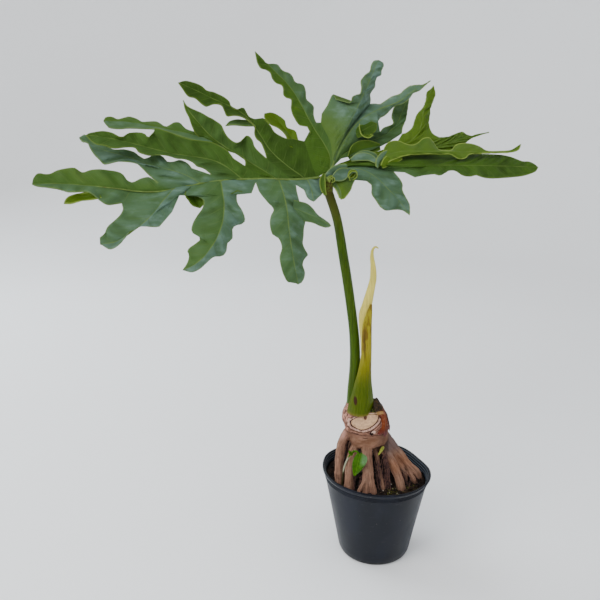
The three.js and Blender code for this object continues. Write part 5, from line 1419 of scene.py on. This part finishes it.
# The dry sheath's rows: height, distance from the trunk's middle, and from and to which angle.
DRY_SHEATH_ROWS = [(148, 24.6, -69, 34), (152, 24.9, -65, 34), (158, 24.9, -52, 32),
                   (165, 23.3, -45, 28), (171, 21.2, -50, 22), (175.5, 18.7, -52, 16),
                   (180, 16.6, -46, 8), (183, 14.4, -22, -2)]


def make_stalk(stem):
    """A tube along the stalk's route, flattened a little towards the viewer, with seven shallow
    ribs and slow swellings."""
    rows = 260
    at = np.linspace(0, 1, rows)
    path = along(STALK_ROUTE, at)
    z = path[:, 2:3]
    radius = (steps_between(STALK_RADII, at)[:, None] + 0.09 * np.sin(7 * circle(48) + 0.02 * z)
              + 0.18 * clouds(np.hstack([z, 0 * z, 0 * z]), 22, 17)[:, None])
    parts = [tube(path, radius * round_ends(rows, 0.006)[:, None], 48, squash=0.94)]
    green = Finish("stalk green", 0.42, specular=0.1)
    z = green.millimetres()[2]
    streak = green.noise(1.6, 3, (1, 1, 16))
    freckle = green.noise(1.4, 1, (1, 1, 3)).smooth(0.72, 0.76)
    colour = green.layers(
        green.tones(streak.smooth(0.3, 0.75), stem.stalk, 0.8, 1.35),
        (green.noise(24, 2, (1, 1, 2)).smooth(0.45, 0.7) * 0.3, (0.05, 0.07, 0.006)),
        (z.smooth(352, 405) * 0.8, (0.05, 0.048, 0.005)),
        (z.fade(176, 210) * 0.5, (0.04, 0.09, 0.003)), (freckle * 0.6, (0.016, 0.013, 0.002)))
    green.paint(colour, 0.34 + streak * 0.14)
    green.relief(streak + green.noise(0.9, 2) * 0.3, 0.22)
    piece("leaf_stalk_looks", parts, green.material, ["leaf_stalk"])


def make_sheath(stem):
    """A curved sheet: its rows' edges and depths run smoothly up the list, and the depth at share
    t of the half width is middle + (edge - middle)·|t|^2.4. Two long folds and fine ribs press
    into it, and it is closed to a body 1.4 mm thick."""
    line = spread(SHEATH_ROWS)
    heights = np.linspace(line[0, 0], line[-1, 0], 180)[:, None]
    left, right, middle, edge = (np.interp(heights, line[:, 0], line[:, k]) for k in (1, 2, 3, 4))
    t = np.linspace(-1, 1, 49)[None]
    up = (heights - 169) / 122
    fold = 0.7 * bell(t, 0.42 - 0.3 * up, 0.08) + 0.5 * bell(t, -0.35 + 0.1 * up, 0.06)
    fine = 0.12 * np.sin(34 * t + 1.5 * np.sin(heights / 21))
    wave = 0.5 * np.sin(heights / 9) * np.abs(t)**6
    depth = middle + (edge - middle) * np.abs(t)**2.4 + (fold + fine) * (1 - t**4) * (1 - up**6)
    x = (left + right) / 2 + t * ((right - left) / 2) + wave * 0.35
    grid = np.stack([x, depth + 0.25 * wave, heights + 0 * t], -1)
    husk = Finish("sheath green", 0.44, specular=0.1)
    x, _, z = husk.millimetres()
    streak = husk.noise(1, 3, (1, 1, 22))
    cloud = husk.noise(11, 3, (1, 1, 2.5))
    high = z.smooth(196, 250)
    brown = (cloud + high * 0.13 + z.smooth(262, 290) * 0.12).smooth(0.6, 0.7)
    spot = (oval(x, z, (-26.7, 186), (2.1, 5.4)) + cloud * 0.6).fade(0.7, 1.3)
    dark = oval(x + (z - 240) * 0.02, z, (-17.5, 248), (1.6, 22)).fade(0.3, 1.2)
    colour = husk.layers(
        husk.mix(high, stem.sheath, (0.26, 0.215, 0.012)),
        (streak.smooth(0.35, 0.75) * (0.12 + high * 0.3), (0.2, 0.2, 0.012)),
        (brown * (0.1 + high * 0.7), (0.1, 0.045, 0.006)),
        (streak.smooth(0.58, 0.7) * high * 0.6, (0.085, 0.045, 0.006)),
        (spot, (0.03, 0.009, 0.002)),
        (dark * streak.smooth(0.3, 0.6) * 0.8, (0.055, 0.035, 0.004)),
        (z.fade(169, 173) * 0.6, (0.17, 0.12, 0.02)))
    husk.paint(colour, 0.38 + streak * 0.15)
    husk.relief(streak + husk.noise(1.2, 2) * 0.4, 0.3)
    piece("green_sheath_looks", [slab(grid, 0.7)], husk.material,
          ["green_sheath"], sharp=50)


def make_new_leaf(stem):
    """A tube along the new leaf's route. The rolled blade's free edge shows as a groove
    -0.15·bell that climbs round the tube, with a second, finer one, and fine ribs run along."""
    rows, sides = 300, 64
    at = np.linspace(0, 1, rows)[:, None]
    angle = circle(sides)[None]
    seam = math.radians(205) + 1.5 * at
    away, second = [(angle - seam - turn + np.pi) % (2 * np.pi) - np.pi for turn in (0, 2.1)]
    overlap = (-0.15 * bell(away, 0, 0.16) + 0.07 * np.where(away > 0, np.exp(-away / 0.9), 0)
               - 0.07 * bell(second, 0, 0.14))
    radius = (steps_between(NEW_LEAF_RADII, at) * (1 + overlap)
              + 0.05 * np.sin(11 * angle + 3 * at)) * round_ends(rows, 0.006)[:, None]
    parts = [tube(along(NEW_LEAF_ROUTE, at[:, 0]), radius, sides, squash=0.5)]
    husk = Finish("new leaf", 0.48, specular=0.15, subsurface_weight=0.15,
                  subsurface_radius=(0.004, 0.003, 0.001))
    z = husk.millimetres()[2]
    streak = husk.noise(1.1, 3, (1, 1, 20))
    freckle = husk.noise(1.5, 1, (1, 1, 2)).smooth(0.7, 0.75)
    colour = husk.layers(
        husk.tones(streak.smooth(0.3, 0.7), stem.new_leaf, 0.82, 1.12),
        (husk.noise(14, 2, (1, 1, 2)).smooth(0.5, 0.75) * 0.5, (0.42, 0.4, 0.08)),
        (z.smooth(325, 349) * 0.45, (0.36, 0.34, 0.05)),
        (z.fade(190, 285) * 0.55, (0.4, 0.4, 0.1)), (freckle * 0.35, (0.35, 0.2, 0.07)))
    husk.paint(colour, 0.4 + streak * 0.12)
    husk.relief(streak, 0.2)
    piece("rolled_new_leaf_looks", parts, husk.material, ["rolled_new_leaf"],
          sharp=50)


def make_dry_sheath(stem):
    """A papery sheet round the trunk's right shoulder: its radius follows the trunk, its foot is
    torn into points by three sine waves, and it is crumpled by clouds."""
    line = spread(DRY_SHEATH_ROWS)
    up = np.linspace(0, 1, 90)[:, None]
    q = np.linspace(0, 1, 141)[None]
    heights = line[0, 0] + (line[-1, 0] - line[0, 0]) * up
    lift, start, end = (np.interp(heights, line[:, 0], line[:, k]) for k in (1, 2, 3))
    angle = np.radians(start + (end - start) * q)
    tear = 2.2 * np.sin(19.2 * q) + 1.1 * np.sin(51 * q + 1) + 0.7 * np.abs(np.sin(90 * q + 2))
    z = heights + tear * (1 - up)**2
    flat = np.stack([angle * 24, z, 0 * z], -1)
    lift = (lift + trunk_lumps(angle, heights) + 0.4 * clouds(flat, 7, 18)
            + 0.12 * clouds(flat, 3, 19) + 0.25 * np.abs(np.sin(angle * 11 + 1.4 * np.sin(z / 6)))
            + 0.7 * (1 - up)**8 * (0.5 + 0.5 * np.sin(30 * q)))
    grid = around_trunk(lift, angle, heights)
    grid[..., 2] = z
    husk = Finish("dry sheath", 0.45, specular=0.12)
    x, _, z = husk.millimetres()
    cloud = husk.noise(8, 3)
    vein = husk.noise(1.5, 3, (1, 1, 9))
    # A painted glow of light lies on the middle of the dry skin.
    painted_glow = oval(x, z, (5, 161), (5, 8)).fade(0.2, 1.3)
    band = abs(z - 170 + (x - 1) * 0.3).fade(0.8, 1.8) * x.fade(3, 6)
    # Painted shade darkens the side that faces right, away from the light.
    colour = husk.layers(
        husk.tones(cloud.smooth(0.3, 0.7), stem.dry_skin, 0.5, 1),
        (painted_glow * 0.45, (0.22, 0.05, 0.008)), (vein.smooth(0.56, 0.68) * 0.5, (0.36, 0.16, 0.09)),
        (vein.fade(0.3, 0.42) * 0.75, (0.035, 0.009, 0.005)),
        ((x + (z - 160) * 0.25).smooth(7.5, 11) * 0.75, (0.022, 0.008, 0.006)),
        (z.fade(148.5, 154) * 0.7, (0.1, 0.035, 0.04)),
        (z.smooth(170, 173),
         husk.mix(vein.smooth(0.45, 0.65), (0.01, 0.005, 0.002), (0.06, 0.032, 0.008))),
        (band * (0.1 + vein), (0.45, 0.27, 0.09)))
    husk.paint(colour, 0.5 + cloud * 0.25)
    husk.relief(vein + husk.noise(1.1, 3) * 0.3, 0.3)
    piece("dry_sheath_looks", [slab(grid, 0.32)], husk.material, ["dry_sheath"])


# ---- seedling, bud and root fibres ----
SEEDLING_ROUTE = [(-40.5, -27, 80), (-39.6, -24.5, 100), (-38.4, -24, 112), (-34.7, -24.5, 124),
                  (-31, -27, 131.5), (-26.5, -30.8, 136.5), (-22.9, -33.4, 134.4)]
SEEDLING_LEFT = [(-25.5, 135.6), (-28.6, 131), (-30.4, 124.5), (-30, 117), (-28.9, 112)]
SEEDLING_RIGHT = [(-19.8, 135.4), (-15.6, 132.4), (-14.8, 128), (-18.6, 120.5), (-24, 114)]
SEEDLING_TIP = (-28, 111)
SHOOT_ROUTE = [(-32, -25.6, 129.5), (-31, -28, 133), (-32, -29, 135.5)]
# Pointed leaflets at the node: from where, to where, and how wide.
LEAFLETS = [((-31.5, -27.5, 130), (-34, -29.5, 137), 1.5),
            ((-31, -27.5, 131), (-28.6, -31, 138.2), 1.3),
            ((-30.5, -28, 130.5), (-32.4, -31.5, 134), 1.6)]
BUD_ROUTE = [(5.3, -7, 128.5), (2.3, -14.8, 128.3), (-1.3, -19.2, 125.3)]
# Bundles of rootlets: from where, to where, how many, and how loose.
BUNDLES = [((6, -14, 124), (9, -32, 91), 16, 3.2), ((-28, -22, 108), (-29, -34, 90), 7, 3),
           ((26, -12, 104), (30, -27, 90), 7, 3), ((-20, -26, 104), (-20, -40, 91), 5, 2.5),
           ((-2, -16, 118), (-1, -36, 91), 6, 2.5), ((38, -8, 100), (43, -18, 91), 5, 2.5),
           ((-10, 14, 122), (-14, 30, 91), 8, 5), ((-31, 2, 142), (-39, -8, 97), 26, 3)]


def make_seedling(leaf):
    """The small leaf lies between its left and right edge lines, (1 - t)·left + t·right, folded
    up a little at the sides, with a notch where the stem joins. The stem, a shoot and three
    pointed leaflets are tubes."""
    at = np.linspace(0, 1, 60)
    left = along([*SEEDLING_LEFT, SEEDLING_TIP], at)[:, None]
    right = along([*SEEDLING_RIGHT, SEEDLING_TIP], at)[:, None]
    t = np.linspace(0, 1, 41)[None, :, None]
    x, z = np.moveaxis((1 - t) * left + t * right, -1, 0)
    side, at = np.abs(2 * t[..., 0] - 1), at[:, None]
    z = z + (0.9 * bell(side, 0.5, 0.25) - 1.6 * bell(side, 0, 0.2)) * (1 - at)**6
    y = (-33.5 - 1.4 * side**1.4 - 0.12 * (134.2 - z) + 0.35 * bell(side, 0, 0.08)
         + 0.25 * np.cos(18 * at - 5 * side) * side * (1 - side))
    parts = [slab(np.stack([x, y, z], -1), 0.35),
             rod(SEEDLING_ROUTE, [0.9, 0.9], 90, 16, 0.02, across=(0, 1, 0.2)),
             rod(SHOOT_ROUTE, [0.9, 1.2, 0.4], 30, 16, 0.1, across=(1, 0, 0))]
    at = np.linspace(0, 1, 24)
    for start, end, wide in LEAFLETS:
        line = along([start, (np.array(start) + end) / 2 + (0, -1.2, 0.4), end], at)
        parts.append(tube(line, wide * np.sin(np.pi * (0.05 + 0.93 * at))**0.8, 12,
                          across=(1, 0, 0), squash=0.4))
    green = Finish("seedling green", 0.4, specular=0.1)
    x, _, z = green.millimetres()
    middle = x + 22.6 + (134.4 - z) * 0.2
    tone = green.noise(3, 3)
    on_stem = (0 - x - abs(z - 120) * 0.1).smooth(31.2, 32.2) * z.fade(124, 128)
    # A bluish sheen is painted on the leaf's upper right half, where it curls up.
    colour = green.layers(
        green.tones(tone.smooth(0.3, 0.7), leaf.seedling, 0.7, 1.3),
        (middle.smooth(0.8, 5.8) * z.smooth(119, 127) * (0.1 + tone * 0.7), (0.13, 0.25, 0.13)),
        (abs(middle).fade(0.15, 0.6) * 0.35, (0.12, 0.26, 0.02)),
        (on_stem, green.mix(z.smooth(106, 112), (0.035, 0.03, 0.012), (0.3, 0.3, 0.2))))
    green.paint(colour, 0.32 + tone * 0.12)
    green.relief(green.noise(1.6, 3), 0.25)
    piece("seedling_looks", parts, green.material, ["seedling"])

    at = np.linspace(0, 1, 40)
    radius = (steps_between([1.9, 1.85, 1.7, 1.1, 0.5], at) * round_ends(40, 0.08))[:, None]
    radius = radius * (1 - 0.12 * bell(circle(28)[None], 3, 0.3))
    bud = Finish("bud", 0.44, specular=0.12)
    tone = bud.noise(1.5, 3)
    bud.paint(bud.mix(tone.smooth(0.35, 0.7), (0.17, 0.2, 0.02), (0.34, 0.34, 0.06)))
    bud.relief(tone, 0.2)
    piece("root_bud_looks", [tube(along(BUD_ROUTE, at), radius, 28, across=(1, 0, 0))],
          bud.material, ["root_bud"])


def make_fibres():
    """Thin dark rootlets: bundles of tubes between two ends each, bowed by random amounts."""
    random = np.random.default_rng(77)
    parts = []
    for start, end, count, loose in BUNDLES:
        for _ in range(count):
            a = np.array(start) + random.normal(0, loose * 0.5, 3)
            b = np.array(end) + random.normal(0, loose * 0.8, 3)
            b[2] = 89 + random.uniform(-1, 1.5)
            middle = (a + b) / 2 + random.normal(0, loose * 0.7, 3)
            path = along([a, middle, b], np.linspace(0, 1, 22))
            radius = random.uniform(0.25, 0.5) * (1 + 0.25 * clouds(path, 3, 20))
            parts.append(tube(path, radius * round_ends(22, 0.05), 7, across=(1, 0.3, 0)))
    hair = Finish("root fibres", 0.75, specular=0.25)
    tone = hair.noise(3, 3)
    hair.paint(hair.mix(tone.smooth(0.35, 0.65), (0.03, 0.012, 0.014), (0.12, 0.055, 0.04)))
    hair.relief(tone, 0.15)
    piece("root_fibres", parts, hair.material, sharp=60)


# ---- floor, lights and camera ----
def lamp(name, place, aim, size, power, colour):
    """A soft rectangular light that points at "aim"; places in metres."""
    data = bpy.data.lights.new(name, "AREA")
    data.shape = "RECTANGLE"
    data.size, data.size_y = size
    data.energy = power
    data.color = colour
    thing = bpy.data.objects.new(name, data)
    thing.location = place
    thing.rotation_euler = (Vector(aim) - Vector(place)).to_track_quat("-Z", "Y").to_euler()
    bpy.context.scene.collection.objects.link(thing)


def make_stage(stage):
    """A wide pale dish turned round Z: flat in the middle and rising in a quarter circle."""
    bend = np.linspace(0, np.pi / 2, 24)
    radii = np.concatenate([[0.001, 0.4, 0.9, 1.5], 1.5 + 0.9 * np.sin(bend[1:]), [2.4, 2.4]])
    heights = np.concatenate([[0, 0, 0, 0], 0.9 * (1 - np.cos(bend[1:])), [1.4, 2.2]]) - 0.0002
    angle = circle(96)[None]
    grid = np.stack([radii[:, None] * np.cos(angle), radii[:, None] * np.sin(angle),
                     heights[:, None] + 0 * angle], -1).reshape(-1, 3)
    cells = grid_cells(len(radii), 96, loop=True)
    mesh = bpy.data.meshes.new("floor")
    mesh.from_pydata(grid.tolist(), [], cells.tolist())
    mesh.shade_smooth()
    floor = bpy.data.objects.new("floor", mesh)
    bpy.context.scene.collection.objects.link(floor)
    plain = Finish("floor", 0.7, specular=0.2)
    cloud = plain.noise(300, 2)
    plain.paint(plain.mix(cloud, shade(stage.floor, 0.97), stage.floor))
    mesh.materials.append(plain.material)

    world = bpy.data.worlds.new("studio")
    world.use_nodes = True
    background = world.node_tree.nodes["Background"]
    background.inputs["Color"].default_value = (0.93, 0.96, 1.0, 1.0)
    background.inputs["Strength"].default_value = 0.95
    bpy.context.scene.world = world
    lamp("window", (-1.15, 0.85, 1.1), (-0.05, 0, 0.3), (1.2, 1.4), 20, (0.86, 0.94, 1.0))
    lamp("key", (-1.1, -0.9, 1.3), (-0.05, 0, 0.25), (0.9, 0.9), 17, (1.0, 0.985, 0.96))
    lamp("sky", (-0.5, -1.3, 1.9), (-0.05, 0, 0.35), (1.2, 0.8), 8, (0.86, 0.93, 1.0))
    lamp("fill", (1.3, -0.8, 0.9), (-0.03, 0, 0.2), (1.2, 1.2), 2.5, (1.0, 0.96, 0.92))

    camera = bpy.data.cameras.new("front view")
    camera.lens = 40.98
    camera.sensor_width = 36
    view = bpy.data.objects.new("front view", camera)
    view.location = (-0.086, -0.6841, 0.4924)
    view.rotation_euler = Euler((math.radians(90 - 16.1), 0, 0))
    bpy.context.scene.collection.objects.link(view)
    bpy.context.scene.camera = view


# ---- the add-on ----
class MakePot(bpy.types.Operator):
    """Make the nursery pot, with its rim rings and drainage holes"""
    bl_idname = "philodendron.pot"
    bl_label = "Nursery pot"
    bl_options = {"REGISTER", "UNDO"}

    def execute(self, context):
        make_pot(context.scene.philodendron_pot)
        return {"FINISHED"}


class MakeSoil(bpy.types.Operator):
    """Make the soil, with its crumbs, pale grit and moss"""
    bl_idname = "philodendron.soil"
    bl_label = "Potting soil"
    bl_options = {"REGISTER", "UNDO"}

    def execute(self, context):
        make_soil(context.scene.philodendron_pot)
        return {"FINISHED"}


class MakeTrunk(bpy.types.Operator):
    """Make the trunk with its stilt roots and the leaf scar"""
    bl_idname = "philodendron.trunk"
    bl_label = "Trunk with roots"
    bl_options = {"REGISTER", "UNDO"}

    def execute(self, context):
        make_trunk(context.scene.philodendron_stem)
        return {"FINISHED"}


class MakeStalk(bpy.types.Operator):
    """Make the long stalk of the large leaf"""
    bl_idname = "philodendron.stalk"
    bl_label = "Leaf stalk"
    bl_options = {"REGISTER", "UNDO"}

    def execute(self, context):
        make_stalk(context.scene.philodendron_stem)
        return {"FINISHED"}


class MakeLeaf(bpy.types.Operator):
    """Make the large lobed leaf and its ribs"""
    bl_idname = "philodendron.leaf"
    bl_label = "Leaf blade"
    bl_options = {"REGISTER", "UNDO"}

    def execute(self, context):
        make_leaf(context.scene.philodendron_leaf)
        return {"FINISHED"}


class MakeSheaths(bpy.types.Operator):
    """Make the green sheath, the rolled new leaf and the dry sheath"""
    bl_idname = "philodendron.sheaths"
    bl_label = "Sheaths and new leaf"
    bl_options = {"REGISTER", "UNDO"}

    def execute(self, context):
        stem = context.scene.philodendron_stem
        make_sheath(stem)
        make_new_leaf(stem)
        make_dry_sheath(stem)
        return {"FINISHED"}


class MakeSeedling(bpy.types.Operator):
    """Make the seedling, the bud and the fine root fibres"""
    bl_idname = "philodendron.seedling"
    bl_label = "Seedling and fibres"
    bl_options = {"REGISTER", "UNDO"}

    def execute(self, context):
        make_seedling(context.scene.philodendron_leaf)
        make_fibres()
        return {"FINISHED"}


class MakeStage(bpy.types.Operator):
    """Make the pale floor, the lights and the camera"""
    bl_idname = "philodendron.stage"
    bl_label = "Floor, lights and camera"
    bl_options = {"REGISTER", "UNDO"}

    def execute(self, context):
        make_stage(context.scene.philodendron_stage)
        return {"FINISHED"}


STEPS = (MakePot, MakeSoil, MakeTrunk, MakeStalk, MakeLeaf, MakeSheaths, MakeSeedling, MakeStage)
SETTINGS = {"philodendron_pot": PotSettings, "philodendron_stem": StemSettings,
            "philodendron_leaf": LeafSettings, "philodendron_stage": StageSettings}


class PhilodendronPanel(bpy.types.Panel):
    """The plant's sizes, colours and steps"""
    bl_idname = "VIEW3D_PT_philodendron"
    bl_label = "Potted philodendron"
    bl_space_type = "VIEW_3D"
    bl_region_type = "UI"
    bl_category = "Philodendron"

    def draw(self, context):
        for name, kind in SETTINGS.items():
            box = self.layout.box()
            for field in kind.__annotations__:
                box.prop(getattr(context.scene, name), field)
        for step in STEPS:
            self.layout.operator(step.bl_idname)


def register():
    for kind in (*SETTINGS.values(), *STEPS, PhilodendronPanel):
        bpy.utils.register_class(kind)
    for name, kind in SETTINGS.items():
        setattr(bpy.types.Scene, name, PointerProperty(type=kind))


def unregister():
    for name in SETTINGS:
        delattr(bpy.types.Scene, name)
    for kind in (PhilodendronPanel, *STEPS[::-1], *list(SETTINGS.values())[::-1]):
        bpy.utils.unregister_class(kind)


def main():
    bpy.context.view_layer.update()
    register()
    for step in STEPS:
        group, name = step.bl_idname.split(".")
        getattr(getattr(bpy.ops, group), name)()


if __name__ == "__main__":
    main()
